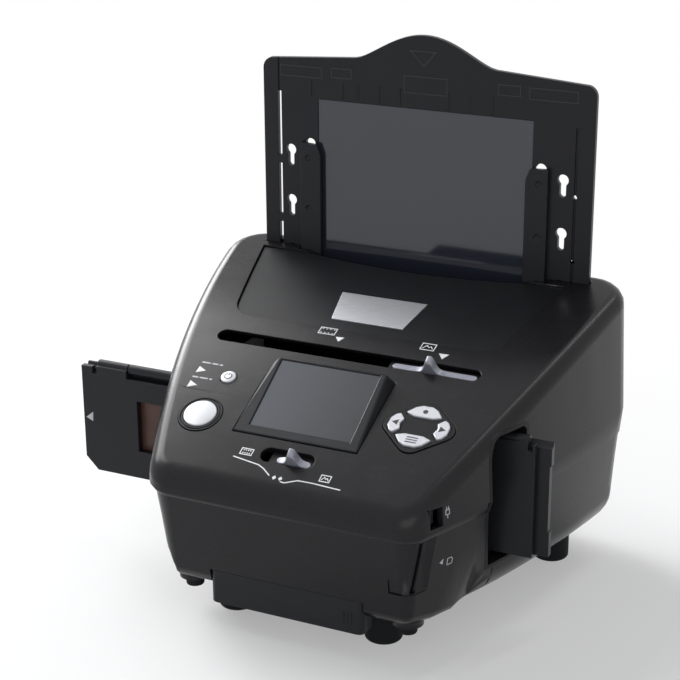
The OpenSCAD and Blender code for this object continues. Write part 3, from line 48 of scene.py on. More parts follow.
# ---------------------------------------------------------------- the body's form, in millimetres
HALF_D = 86.0
FASCIA_R = 597.0
RIM_FRONT_Z, RIM_REAR_Z = 75.0, 136.4
RIM_R = 7.0
SIDE_R = 575.0
FRONT_HALF_W, REAR_HALF_W = 63.5, 108.6
CORNER_R = {-1: 14.0, 1: 20.5}
BELT_FRONT_Z, BELT_REAR_Z = 66.5, 77.0
SEAM_Z, MID_Z, UNDER_Z = 63.5, 50.0, 26.0
DRAFT = 0.045
TUB_STEP = 0.5
SEAM_SHARE, MID_SHARE = 0.27, 0.56
TUB_INSET = (8.0, 4.4)
UNDERSIDE_Z, UNDERSIDE_RISE, RISE_Y = 15.6, 7.0, -20.0
EDGE_R, SIDE_EDGE_R = 5.2, 15.0
# the tub's lower edge grows where its wall faces sideways, and stays small at the card slot's corner
FACING_LOW, FACING_SPAN = 0.15, 0.6
SLOT_X, SLOT_Y, SLOT_FADE = 40.0, -38.0, 20.0
# heights over the underside at which its faces are cut, and the insets over which the growth fades
UNDER_CUTS = (0.8, 1.8, 3, 4.5, 6.5, 9, 12, 15, 18, 21)
INNER_START, INNER_FADE = 6.0, 14.0
# how near a point must be to a skin to take its normal
TOP_TOL, RIM_TOL, WALL_TOL, TUB_TOL = 0.06, 0.03, 0.12, 0.4
STEEPEST = 0.98
LAYOUT_X = -4.5
TRAY_FACE_Y = HALF_D - 14.4
HOLDER_FACE_Y = -25.0


def clamp(value, top=1.0):
    return min(top, max(0.0, value))


def arc_centre(p, q, r):
    """Centre of the arc of radius r from p to q, on its right."""
    dx, dy = q[0] - p[0], q[1] - p[1]
    length = math.hypot(dx, dy)
    k = math.sqrt(r * r - length * length / 4) / length
    return (p[0] + q[0]) / 2 + dy * k, (p[1] + q[1]) / 2 - dx * k


FASCIA_C = arc_centre((-HALF_D, RIM_FRONT_Z), (HALF_D, RIM_REAR_Z), FASCIA_R)
SIDE_C = Vector(arc_centre((REAR_HALF_W, HALF_D), (FRONT_HALF_W, -HALF_D), SIDE_R))


def corner_centre(end):
    """Centre of the outline's corner round at the front (-1) or the back (1)."""
    y = end * (HALF_D - CORNER_R[end])
    return Vector((SIDE_C.x + math.sqrt((SIDE_R - CORNER_R[end]) ** 2 - (y - SIDE_C.y) ** 2), y))


CORNER_C = {end: corner_centre(end) for end in (-1, 1)}


def top_z(y):
    return FASCIA_C[1] + math.sqrt(FASCIA_R ** 2 - (y - FASCIA_C[0]) ** 2)


def top_normal(y):
    s = (FASCIA_C[0] - y) / FASCIA_R
    return Vector((0, -s, math.sqrt(1 - s * s)))


def along(y, front, rear):
    """Value at y of what runs evenly from the front to the back."""
    return front + (rear - front) * (y + HALF_D) / (2 * HALF_D)


def belt_z(y):
    """Height of the widest line of the casing."""
    return along(y, BELT_FRONT_Z, BELT_REAR_Z)


def inset_at(x, y):
    """Distance in from the widest outline at x, y, and the outward direction there."""
    side = 1 if x >= 0 else -1
    p = Vector((abs(x), y))
    d = p - SIDE_C
    best = (SIDE_R - d.length, d.normalized())
    for end in (-1, 1):
        if HALF_D - end * y < best[0]:
            best = (HALF_D - end * y, Vector((0, end)))
    for end, c in CORNER_C.items():
        q = p - c
        wall = (c - SIDE_C).normalized()
        if end * q.y > 0 and q.x > 0 and end * (wall.x * q.y - wall.y * q.x) > 0:
            best = (CORNER_R[end] - q.length, q.normalized())
    return best[0], Vector((side * best[1].x, best[1].y))


def casing_normal(p):
    """Outward normal of the upper casing's skin at p, or None off the skin."""
    e, n = inset_at(p.x, p.y)
    s = top_normal(p.y)
    top = top_z(p.y)
    height = max(1e-6, top - RIM_R - belt_z(p.y))
    lean = DRAFT * height
    drop = top - p.z
    u, v = (RIM_R - e + lean) / RIM_R, (RIM_R - drop) / RIM_R
    if u < 0.003 and abs(drop * s.z) < TOP_TOL:
        return s
    if v > 0 and u >= 0 and abs(math.hypot(u, v) - 1) < RIM_TOL:
        return Vector((u * n.x, u * n.y + v * s.y / s.z, v)).normalized()
    if v <= 0 and p.z >= belt_z(p.y) - 0.05:
        if abs(e - lean * (p.z - belt_z(p.y)) / height) < WALL_TOL:
            return Vector((n.x, n.y, DRAFT)).normalized()
    return None


def underside_z(y):
    """Height of the tub's underside, which rises towards the front."""
    return UNDERSIDE_Z + UNDERSIDE_RISE * max(0.0, (RISE_Y - y) / (HALF_D + RISE_Y)) ** 2


def tub_inset(y, z):
    """Inset of the tub's side wall at a depth y and height z."""
    full = along(y, *TUB_INSET)
    seam, mid = TUB_STEP + SEAM_SHARE * full, TUB_STEP / 2 + MID_SHARE * full
    if z >= MID_Z:
        return mid + (seam - mid) * (z - MID_Z) / (SEAM_Z - MID_Z)
    low = underside_z(y) + EDGE_R
    return full + (mid - full) * max(0.0, (z - low) / (MID_Z - low))


def edge_radius(x, y, n):
    """Radius of the tub's lower edge: large along the sides, small at the front, back and card slot."""
    side = clamp((abs(n.x) - FACING_LOW) / FACING_SPAN)
    if x > 0:
        side *= clamp((y - SLOT_Y + SLOT_FADE) / SLOT_FADE)
    return EDGE_R + (SIDE_EDGE_R - EDGE_R) * side * side * (3 - 2 * side)


def fillet_inset(h, r):
    """Inset of a quarter round of radius r at a height h over its foot."""
    t = clamp((r - h) / r)
    return r * (1 - math.sqrt(1 - t * t))


def tub_normal(p):
    """Outward normal of the tub's side wall and lower edge at p, or None off them."""
    e, n = inset_at(p.x, p.y)
    h = p.z - underside_z(p.y)
    r = edge_radius(p.x, p.y, n)
    if h < -0.1 or abs(e - tub_inset(p.y, p.z) - fillet_inset(h, r)) > TUB_TOL:
        return None
    dip = clamp((r - h) / r, STEEPEST)
    flat = math.sqrt(1 - dip * dip)
    full = along(p.y, *TUB_INSET)
    lean = full * (1 - SEAM_SHARE) / (SEAM_Z - UNDER_Z)
    return Vector((n.x * flat, n.y * flat, -dip - lean * flat)).normalized()


def wall_x(y, z):
    """Half width of the outside at y, z."""
    full = along(y, *TUB_INSET)
    if z > belt_z(y):
        e = DRAFT * (z - belt_z(y))
    elif z > MID_Z:
        e = TUB_STEP + full * (SEAM_SHARE + (MID_SHARE - SEAM_SHARE) * (SEAM_Z - z) / (SEAM_Z - MID_Z))
    else:
        e = TUB_STEP / 2 + full * (MID_SHARE + (1 - MID_SHARE) * (MID_Z - z) / (MID_Z - UNDER_Z))
    return SIDE_C.x + math.sqrt((SIDE_R - e) ** 2 - (y - SIDE_C.y) ** 2)


def on_top(x, y, lift=0.0):
    """Point of the fascia at x, y, raised square to it."""
    return Vector((x, y, top_z(y))) + top_normal(y) * lift


def on_wall(y, z, lift=0.0):
    """Point of the right side wall at y, z, raised from it."""
    return Vector((wall_x(y, z) + lift, y, z))


def top_frame(x, y):
    """Frame on the fascia at x, y: X to the right, Y up the slope, Z square to it, in metres."""
    n = top_normal(y)
    m = Matrix((Vector((1, 0, 0)), Vector((0, n.z, -n.y)), n)).transposed().to_4x4()
    m.translation = Vector((x, y, top_z(y))) * MM
    return m


# ---------------------------------------------------------------- shader helpers
def linear(c):
    return tuple(((v / 255 + 0.055) / 1.055) ** 2.4 if v > 10 else v / 255 / 12.92 for v in c) + (1.0,)


class Shader:
    """A node tree with short calls for the nodes used here."""

    def __init__(self, name):
        self.mat = bpy.data.materials.new(name)
        self.mat.use_nodes = True
        self.tree = self.mat.node_tree
        self.tree.nodes.clear()
        self.out = self.tree.nodes.new("ShaderNodeOutputMaterial")
        self.bsdf = self.tree.nodes.new("ShaderNodeBsdfPrincipled")
        self.tree.links.new(self.bsdf.outputs[0], self.out.inputs[0])
        self.coords = self.tree.nodes.new("ShaderNodeTexCoord").outputs["Object"]

    def node(self, kind, **values):
        n = self.tree.nodes.new("ShaderNode" + kind)
        for k, v in values.items():
            setattr(n, k, v)
        return n

    def link(self, a, b):
        self.tree.links.new(a, b)

    def set(self, **values):
        for k, v in values.items():
            self.bsdf.inputs[k.replace("_", " ")].default_value = v

    def mapped(self, scale, rotation=(0, 0, 0)):
        n = self.node("Mapping")
        n.inputs["Scale"].default_value = scale
        n.inputs["Rotation"].default_value = rotation
        self.link(self.coords, n.inputs["Vector"])
        return n.outputs[0]

    def axis(self, name):
        n = self.node("SeparateXYZ")
        self.link(self.coords, n.inputs[0])
        return n.outputs[name]

    def noise(self, scale, detail=2.0, rough=0.5, vector=None):
        n = self.node("TexNoise")
        n.inputs["Scale"].default_value = scale
        n.inputs["Detail"].default_value = detail
        n.inputs["Roughness"].default_value = rough
        self.link(vector or self.coords, n.inputs["Vector"])
        return n.outputs["Fac"]

    def ramp(self, fac, stops):
        n = self.node("ValToRGB")
        e = n.color_ramp.elements
        while len(e) < len(stops):
            e.new(0.5)
        for k, (pos, colour) in enumerate(stops):
            e[k].position = pos
            e[k].color = colour
        self.link(fac, n.inputs["Fac"])
        return n.outputs["Color"]

    def range(self, value, low, high, a=0.3, b=0.7):
        n = self.node("MapRange")
        n.inputs["From Min"].default_value = a
        n.inputs["From Max"].default_value = b
        n.inputs["To Min"].default_value = low
        n.inputs["To Max"].default_value = high
        self.link(value, n.inputs["Value"])
        return n.outputs["Result"]

    def fill(self, socket, value):
        if hasattr(value, "is_output"):
            self.link(value, socket)
        else:
            socket.default_value = value

    def math(self, op, a, b=0.0):
        n = self.node("Math", operation=op)
        self.fill(n.inputs[0], a)
        self.fill(n.inputs[1], b)
        return n.outputs[0]

    def mix(self, fac, a, b):
        n = self.node("Mix", data_type="RGBA")
        self.fill(n.inputs[0], fac)
        self.fill(n.inputs[6], a)
        self.fill(n.inputs[7], b)
        return n.outputs[2]

    def bump(self, height, strength, distance):
        n = self.node("Bump")
        n.inputs["Strength"].default_value = strength
        n.inputs["Distance"].default_value = distance
        self.link(height, n.inputs["Height"])
        self.link(n.outputs[0], self.bsdf.inputs["Normal"])

    def to(self, socket, value):
        self.link(value, self.bsdf.inputs[socket])


def shade(colour, k):
    c = linear(colour)
    return tuple(min(1.0, v * k) for v in c[:3]) + (1.0,)


def plastic(name, colour, rough, grain=2600, depth=0.00002, strength=0.25, vary=0.08, spec=0.5):
    """Moulded plastic: a fine spark-eroded grain, faint flow clouds and slightly uneven gloss."""
    s = Shader(name)
    cloud = s.noise(38, 4, 0.6)
    s.to("Base Color", s.mix(s.range(cloud, 0, 1), shade(colour, 1 - vary), shade(colour, 1 + vary)))
    fine = s.noise(grain, 2, 0.6)
    wide = s.noise(90, 3, 0.5)
    s.to("Roughness", s.math("ADD", s.range(wide, rough - 0.02, rough + 0.02),
                             s.range(fine, -0.03, 0.03)))
    s.bump(fine, strength, depth)
    s.set(Specular_IOR_Level=spec)
    return s.mat


def metal(name, colour, rough, streaks, stretch, strength=0.15, dark=0.72):
    """Brushed or turned metal with streaks drawn out along one direction."""
    s = Shader(name)
    line = s.noise(streaks, 5, 0.65, s.mapped(stretch))
    s.to("Base Color", s.mix(s.range(line, 0, 1), shade(colour, dark), linear(colour)))
    s.to("Roughness", s.range(line, rough + 0.08, rough - 0.08))
    s.bump(line, strength, 0.00002)
    s.set(Metallic=1.0)
    return s.mat


def board_material():
    """Green solder mask with copper tracks showing through."""
    s = Shader("board_green")
    brick = s.node("TexBrick")
    brick.offset = 0.5
    brick.inputs["Scale"].default_value = 130
    brick.inputs["Mortar Size"].default_value = 0.018
    brick.inputs["Color1"].default_value = linear((26, 74, 48))
    brick.inputs["Color2"].default_value = linear((30, 84, 54))
    brick.inputs["Mortar"].default_value = linear((60, 120, 70))
    s.link(s.mapped((1, 1, 1), (0.5, 0.4, 0.0)), brick.inputs["Vector"])
    cloud = s.noise(60, 3)
    s.to("Base Color", s.mix(s.range(cloud, 0, 0.4), brick.outputs["Color"], linear((16, 50, 34))))
    s.to("Roughness", s.range(cloud, 0.30, 0.45))
    s.bump(brick.outputs["Fac"], 0.2, 0.00003)
    return s.mat


def glass_material(name, low, high, axis, span, rough, clouds):
    """Dark coated glass over a panel under a hard coat, with a painted reflection: its colour runs from
    low to high along one axis.
    """
    s = Shader(name)
    # painted reflection: the colour ramp along one axis paints the light the glass reflects
    painted_reflection = s.ramp(s.range(s.axis(axis), 0, 1, *span), [(0.0, linear(low)), (1.0, linear(high))])
    s.to("Base Color", s.mix(s.range(s.noise(clouds, 3), 0, 0.2), painted_reflection, linear(low)))
    s.to("Roughness", s.range(s.noise(220, 2), rough - 0.015, rough + 0.02))
    s.set(Specular_IOR_Level=0.5, Coat_Weight=0.4, Coat_Roughness=0.05)
    return s.mat


GATE_PITCH = 0.038
GATE_X = 0.0085
FILM_Z = 0.0644


def film_material():
    """Brown film base with dark pictures on the gate pitch."""
    s = Shader("film_brown")
    x = s.math("MODULO", s.math("ADD", s.axis("X"), GATE_X + 30 * GATE_PITCH), GATE_PITCH)
    inside = s.math("MULTIPLY", s.math("GREATER_THAN", x, 0.0012),
                    s.math("LESS_THAN", x, GATE_PITCH - 0.0012))
    z = s.math("ABSOLUTE", s.math("SUBTRACT", s.axis("Z"), FILM_Z))
    inside = s.math("MULTIPLY", inside, s.math("LESS_THAN", z, 0.012))
    picture = s.ramp(s.noise(120, 5, 0.6), [(0.25, linear((70, 46, 40))), (0.8, linear((96, 68, 60)))])
    s.to("Base Color", s.mix(inside, linear((100, 68, 60)), picture))
    s.to("Roughness", s.range(s.noise(300, 2), 0.32, 0.42))
    s.set(Specular_IOR_Level=0.3)
    return s.mat


def silver_paint(name, colour, rough, flake_size=2600, metallic=0.35):
    """Silver paint on plastic: fine flakes under a thin clear layer."""
    s = Shader(name)
    flake = s.noise(flake_size, 2, 0.7)
    s.to("Base Color", s.mix(s.range(flake, 0, 1), shade(colour, 0.84), shade(colour, 1.04)))
    s.to("Roughness", s.range(s.noise(140, 3), rough - 0.03, rough + 0.05))
    s.bump(flake, 0.12, 0.000015)
    s.set(Metallic=metallic, Coat_Weight=0.25, Coat_Roughness=0.15)
    return s.mat


def milky(name, colour, rough):
    """Milky white plastic or ink."""
    s = Shader(name)
    s.to("Base Color", s.mix(s.range(s.noise(90, 3), 0, 1), linear(colour), shade(colour, 0.93)))
    s.to("Roughness", s.range(s.noise(1500, 2), rough - 0.04, rough + 0.04))
    s.bump(s.noise(1800, 2), 0.1, 0.00002)
    return s.mat


MATS = {
    "casing_black": plastic("casing_black", (25, 25, 28), 0.25, spec=0.24),
    "panel_black": plastic("panel_black", (22, 23, 26), 0.36, spec=0.2),
    "cover_black": plastic("cover_black", (33, 34, 38), 0.36, spec=0.2),
    "inner_black": plastic("inner_black", (14, 14, 16), 0.5, grain=2000, spec=0.25),
    "rubber_black": plastic("rubber_black", (19, 20, 23), 0.72, grain=1500, depth=0.00005,
                            strength=0.4, spec=0.2),
    "plate_metal": metal("plate_metal", (186, 188, 193), 0.46, 60, (3.0, 60.0, 60.0)),
    "key_silver": silver_paint("key_silver", (206, 208, 214), 0.36),
    "button_silver": silver_paint("button_silver", (172, 174, 178), 0.3, metallic=0.6),
    "lever_silver": silver_paint("lever_silver", (150, 152, 164), 0.34, 1600),
    "light_lens": milky("light_lens", (240, 241, 243), 0.3),
    # screen_glass carries a painted reflection: lighter at the left and darker at the right, along X
    "screen_glass": glass_material("screen_glass", (84, 88, 96), (52, 54, 58), "X",
                                   (-0.026, 0.018), 0.12, 40),
    # pane_glass carries a painted reflection: lighter towards the top, along Z from 0.10 to 0.21 m
    "pane_glass": glass_material("pane_glass", (43, 47, 58), (47, 52, 64), "Z", (0.10, 0.21), 0.07, 18),
    "display_panel": plastic("display_panel", (70, 74, 78), 0.4),
    "board_green": board_material(),
    "socket_metal": metal("socket_metal", (188, 190, 194), 0.34, 300, (1.0, 1.0, 6.0)),
    "rod_steel": metal("rod_steel", (196, 198, 202), 0.22, 900, (0.05, 1.0, 1.0)),
    "screw_steel": metal("screw_steel", (120, 122, 126), 0.36, 500, (1.0, 1.0, 0.2)),
    "film_brown": film_material(),
    "lamp_white": milky("lamp_white", (238, 238, 232), 0.45),
    # lens_glass carries a painted reflection: lighter towards X = 0 from X = -0.02 m
    "lens_glass": glass_material("lens_glass", (40, 56, 70), (66, 88, 110), "X",
                                 (-0.02, 0.0), 0.05, 100),
}
PRINT_WHITE = milky("print_white", (240, 241, 243), 0.5)
PRINT_GREY = milky("print_grey", (196, 198, 201), 0.5)
PRINT_DARK = plastic("print_dark", (24, 24, 26), 0.45)
# pieces whose finish differs from that of their slot
FINISH = dict.fromkeys(("tray_frame", "photo_guide_left", "photo_guide_right", "holder_base",
                        "holder_cover", "front_apron", "lcd_bezel"), "cover_black")
FINISH["scan_button"] = "button_silver"
BODY = "scanner_body"

for name, obj in NODES.items():
    obj.data.materials.clear()
    obj.data.materials.append(MATS[SLOT_OF[name]])


# ---------------------------------------------------------------- mesh helpers
def new_object(name, mesh, mat, body):
    obj = bpy.data.objects.new(name, mesh)
    bpy.context.scene.collection.objects.link(obj)
    mesh.materials.clear()
    mesh.materials.append(mat)
    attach(obj, body)
    return obj


def mesh_from(bm, name):
    mesh = bpy.data.meshes.new(name)
    bm.to_mesh(mesh)
    bm.free()
    return mesh


# degrees over which an edge is sharp
SHARP = 38
# a face's agreement with the skin's normal: part of the skin, flat beside a rim, turned away from it
ON_SKIN, BESIDE_RIM, TURNED = 0.985, 0.97, 0.6
RIM_ANGLE = 0.7


def smoothed(obj, sharp=SHARP, weighted=True):
    for p in obj.data.polygons:
        p.use_smooth = True
    obj.data.set_sharp_from_angle(angle=math.radians(sharp))
    if weighted:
        w = obj.modifiers.new("normals", "WEIGHTED_NORMAL")
        w.keep_sharp = True
        w.weight = 80
    return obj


def bevelled(obj, width):
    """Adds a rounding of its edges, width in millimetres."""
    m = obj.modifiers.new("edge", "BEVEL")
    m.width = width * MM
    m.segments = 2
    return m


def cad_form(node):
    """The CAD node's shape as a welded bmesh with flat areas joined up."""
    src = NODES[node].data
    bm = bmesh.new()
    bm.from_mesh(src)
    bmesh.ops.remove_doubles(bm, verts=bm.verts, dist=2e-6)
    bmesh.ops.dissolve_degenerate(bm, dist=2e-6, edges=bm.edges)
    bmesh.ops.dissolve_limit(bm, angle_limit=math.radians(0.4), verts=bm.verts, edges=bm.edges)
    bmesh.ops.recalc_face_normals(bm, faces=bm.faces)
    return bm


def dressed(node, width):
    """The CAD node's own shape with its sharp edges rounded and its curved walls smooth."""
    obj = new_object(node + "_form", mesh_from(cad_form(node), node + "_form"),
                     MATS[FINISH.get(node, SLOT_OF[node])], BODY_OF[node])
    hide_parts(node)
    if width:
        m = bevelled(obj, width)
        m.limit_method = "ANGLE"
        m.angle_limit = math.radians(SHARP)
        m.use_clamp_overlap = False
        m.miter_outer = "MITER_SHARP"
    return smoothed(obj)


def shell_form(node, normal_of, width, shape=None):
    """A housing shell: openings get rounded edges, and its skin is shaded by its true normals."""
    bm = cad_form(node)
    if shape:
        shape(bm)
    skin = {}
    for v in bm.verts:
        n = normal_of(v.co / MM)
        if n is not None and any(f.normal.dot(n) > ON_SKIN for f in v.link_faces):
            skin[v] = n
    rims = []
    for e in bm.edges:
        if len(e.link_faces) != 2 or e.verts[0] not in skin or e.verts[1] not in skin:
            continue
        n = skin[e.verts[0]]
        dots = sorted(f.normal.dot(n) for f in e.link_faces)
        if dots[1] > BESIDE_RIM and dots[0] < TURNED and e.calc_face_angle_signed(0) > RIM_ANGLE:
            rims.append(e)
    bmesh.ops.bevel(bm, geom=rims, offset=width * MM, segments=2, profile=0.5,
                    affect="EDGES", clamp_overlap=False)
    mesh = mesh_from(bm, node + "_form")
    obj = new_object(node + "_form", mesh, MATS[SLOT_OF[node]], BODY_OF[node])
    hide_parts(node)
    smoothed(obj, weighted=False)
    normals = []
    for p in mesh.polygons:
        for i in p.vertices:
            n = normal_of(mesh.vertices[i].co / MM)
            normals.append(n if n is not None and p.normal.dot(n) > TURNED else (0, 0, 0))
    mesh.normals_split_custom_set(normals)


def away_from_slot(bm):
    """The tub's faces that don't touch its front right corner, where the card slot's recess lies."""
    return [f for f in bm.faces
            if not any(v.co.x > SLOT_X * MM and v.co.y < SLOT_Y * MM for v in f.verts)]


def round_under(bm):
    """Gives the tub's lower side edges their full round."""
    bmesh.ops.triangulate(bm, faces=away_from_slot(bm))
    for rise in UNDER_CUTS:
        faces = away_from_slot(bm)
        geom = list({v for f in faces for v in f.verts}) + list({e for f in faces for e in f.edges})
        geom += faces
        bmesh.ops.bisect_plane(bm, geom=geom, plane_no=(0, 0, 1),
                               plane_co=(0, 0, (UNDERSIDE_Z + rise) * MM))
    for v in bm.verts:
        p = v.co / MM
        h = p.z - underside_z(p.y)
        e, n = inset_at(p.x, p.y)
        r = edge_radius(p.x, p.y, n)
        if -0.5 < h < r:
            h = max(0.0, h)
            fade = 1 - clamp((e - tub_inset(p.y, p.z) - INNER_START) / INNER_FADE)
            extra = fillet_inset(h, r) - fillet_inset(h, EDGE_R)
            v.co -= Vector((n.x, n.y, 0)) * extra * fade * MM


def surface_print(name, shapes, place, mat, body, lift=0.05, sink=0.02):
    """Thin printed shapes: outlines mapped by place(u, v, lift), with a skirt down to the surface."""
    bm = bmesh.new()
    for pts in shapes:
        top = [bm.verts.new(place(u, v, lift) * MM) for u, v in pts]
        low = [bm.verts.new(place(u, v, -sink) * MM) for u, v in pts]
        bm.faces.new(top)
        bm.faces.new(low)
        n = len(pts)
        for i in range(n):
            bm.faces.new((top[i], low[i], low[(i + 1) % n], top[(i + 1) % n]))
    bmesh.ops.recalc_face_normals(bm, faces=bm.faces)
    return new_object(name, mesh_from(bm, name), mat, body)


def stroke(points, width, closed=False):
    """Outlines of a line of even width through points, one quad per leg, with mitred joints."""
    pts = [Vector(p) for p in points]
    n = len(pts)
    sides = []
    for i in range(n):
        a = pts[i - 1] if i > 0 or closed else None
        b = pts[(i + 1) % n] if i < n - 1 or closed else None
        d0 = (pts[i] - a).normalized() if a is not None else (b - pts[i]).normalized()
        d1 = (b - pts[i]).normalized() if b is not None else d0
        m = Vector((-(d0.y + d1.y), d0.x + d1.x))
        m.normalize()
        k = width / 2 / max(0.4, m.dot(Vector((-d0.y, d0.x))))
        sides.append((pts[i] + m * k, pts[i] - m * k))
    legs = n if closed else n - 1
    ends = [(sides[i], sides[(i + 1) % n]) for i in range(legs)]
    return [[tuple(a[0]), tuple(a[1]), tuple(b[1]), tuple(b[0])] for a, b in ends]


def arc(cx, cy, r, a0, a1, n=24):
    return [(cx + r * math.cos(math.radians(a0 + (a1 - a0) * i / n)),
             cy + r * math.sin(math.radians(a0 + (a1 - a0) * i / n))) for i in range(n + 1)]


def rectangle(x0, y0, x1, y1):
    return [(x0, y0), (x1, y0), (x1, y1), (x0, y1)]


# ---------------------------------------------------------------- dressed CAD forms
shell_form("upper_casing", casing_normal, 0.3)
shell_form("lower_tub", tub_normal, 0.25, round_under)
EDGES = {
    "front_apron": 0.2, "top_panel": 0.35, "name_plate": 0.15, "lcd_bezel": 0.55, "scan_ring": 0.15,
    "nav_bezel": 0.2, "status_lights": 0.1, "film_port_left": 0.0, "film_port_right": 0.0,
    "tray_frame": 0.3, "tray_pane": 0.2, "photo_guide_left": 0.3, "photo_guide_right": 0.3,
    "holder_base": 0.3, "holder_cover": 0.3, "key_top": 0.35, "key_bottom": 0.35, "key_left": 0.35,
    "key_right": 0.35, "front_feet": 0.0, "rear_feet": 0.0, "scan_button": 0.0,
    "power_button": 0.0, "tray_rail_left": 0.3, "tray_rail_right": 0.3, "case_screws": 0.0,
    "film_channel": 0.2, "film_strip": 0.0,
}
for node, width in EDGES.items():
    dressed(node, width)

# ---------------------------------------------------------------- slim posts round the front screws
POST_R, POST_EDGE, POST_LOW, POST_HIGH = 4.2, 0.9, 11.8, 17.4
POST_AT = ((-53, -65), (53, -65))
POST_TURNS = 32


def feet_posts():
    """The two short rubber posts, lathed from one profile."""
    bm = bmesh.new()
    profile = [(POST_R - POST_EDGE, POST_LOW), (POST_R - 0.25, POST_LOW + 0.3),
               (POST_R, POST_LOW + POST_EDGE), (POST_R, POST_HIGH)]
    turns = [(math.cos(math.tau * k / POST_TURNS), math.sin(math.tau * k / POST_TURNS))
             for k in range(POST_TURNS)]
    for cx, cy in POST_AT:
        rings = [[bm.verts.new((cx + r * c, cy + r * s, z)) for c, s in turns] for r, z in profile]
        for low, high in zip(rings, rings[1:]):
            for k in range(POST_TURNS):
                bm.faces.new((low[k], low[(k + 1) % POST_TURNS], high[(k + 1) % POST_TURNS], high[k]))
        bm.faces.new(rings[0][::-1])
        bm.faces.new(rings[-1])
    bm.transform(Matrix.Scale(MM, 4))
    obj = new_object("middle_feet_form", mesh_from(bm, "middle_feet_form"), MATS["rubber_black"],
                     BODY_OF["middle_feet"])
    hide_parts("middle_feet")
    smoothed(obj)


feet_posts()

# ---------------------------------------------------------------- slide levers
SHOE_W, SHOE_TOP, SHOE_LOW = 3.6, -0.3, -2.3
SHOE_EDGE = 0.35
FIN_FRONT, FIN_REAR = 6.2, 7.6
FIN_HALF = 2.5


def lever_height(x, t, fin_x):
    """Height of a lever over its slot's plane: t runs from -1 at the shoe's front edge to 1."""
    edge = max(0.0, abs(t) - 0.75) / 0.25
    flat = SHOE_TOP - SHOE_EDGE * edge * edge
    fin = FIN_FRONT + (FIN_REAR - FIN_FRONT) * (t + 1) / 2
    fin -= 0.9 * max(0.0, -t - 0.5) ** 2 * 4
    return flat + fin / (1 + abs((x - fin_x) / FIN_HALF) ** 4)


def slide_lever(node, at, length, slot_w, fin_x, keeper_len, tenon):
    """A silver shoe with a thumb fin, and the black keeper below it that holds it in its slot."""
    mid_y = -(slot_w - SHOE_W) / 2 + 0.55
    place = top_frame(*at)
    half, r = length / 2, SHOE_W / 2
    fin_xs = [fin_x + 0.35 * k for k in range(-22, 23)]
    xs = sorted({round(half * math.sin(math.radians(a)), 3) for a in range(-87, 88, 6)}
                | {round(x, 3) for x in fin_xs if abs(x) < half - 1}
                | {-half + 0.04, half - 0.04})
    ts = [-1, -0.93, -0.82, -0.7, -0.45, 0, 0.45, 0.7, 0.82, 0.93, 1]
    bm = bmesh.new()
    top, low = [], []
    for x in xs:
        over = max(0.0, abs(x) - (half - r))
        w = math.sqrt(max(0.02, r * r - over * over))
        top.append([bm.verts.new((x, mid_y + t * w, lever_height(x, t, fin_x))) for t in ts])
        low.append([bm.verts.new((x, mid_y + t * w, SHOE_LOW)) for t in ts])
    for i in range(len(xs) - 1):
        for j in range(len(ts) - 1):
            bm.faces.new((top[i][j], top[i + 1][j], top[i + 1][j + 1], top[i][j + 1]))
            bm.faces.new((low[i][j], low[i][j + 1], low[i + 1][j + 1], low[i + 1][j]))
        for j in (0, -1):
            bm.faces.new((top[i][j], low[i][j], low[i + 1][j], top[i + 1][j]))
    for i in (0, -1):
        for j in range(len(ts) - 1):
            bm.faces.new((top[i][j], top[i][j + 1], low[i][j + 1], low[i][j]))
    bmesh.ops.recalc_face_normals(bm, faces=bm.faces)
    bm.transform(place @ Matrix.Scale(MM, 4))
    obj = new_object(node + "_form", mesh_from(bm, node + "_form"), MATS["lever_silver"],
                     BODY_OF[node])
    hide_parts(node)
    smoothed(obj, 50)
    lever_keeper(node, place, mid_y, slot_w, keeper_len, tenon)


def lever_keeper(node, place, mid_y, slot_w, keeper_len, tenon):
    """The keeper plate under the slot, its web up to the shoe and its tenon down to the slide."""
    bm = bmesh.new()
    web_half, keeper_top, keeper_t = 4.6, -2.9, 1.2
    blocks = [((-web_half, mid_y - 1.3, keeper_top - 0.1), (web_half, mid_y + 1.3, SHOE_LOW + 0.1)),
              ((-keeper_len / 2, -slot_w / 2 - 1.6, keeper_top - keeper_t),
               (keeper_len / 2, slot_w / 2 + 1.6, keeper_top))]
    for block in blocks:
        add_block(bm, *block)
    bm.transform(place @ Matrix.Scale(MM, 4))
    extra = bmesh.new()
    add_block(extra, *tenon)
    extra.transform(Matrix.Scale(MM, 4))
    spare = mesh_from(extra, "spare")
    bm.from_mesh(spare)
    bpy.data.meshes.remove(spare)
    obj = new_object(node + "_keeper", mesh_from(bm, node + "_keeper"), MATS["inner_black"],
                     BODY_OF[node])
    bevelled(obj, 0.25)
    smoothed(obj)


def add_block(bm, lo, hi):
    """A closed block between two corners."""
    v = [bm.verts.new((x, y, z)) for z in (lo[2], hi[2]) for x, y in
         ((lo[0], lo[1]), (hi[0], lo[1]), (hi[0], hi[1]), (lo[0], hi[1]))]
    for f in ((3, 2, 1, 0), (4, 5, 6, 7), (0, 1, 5, 4), (1, 2, 6, 5), (2, 3, 7, 6), (3, 0, 4, 7)):
        bm.faces.new([v[i] for i in f])


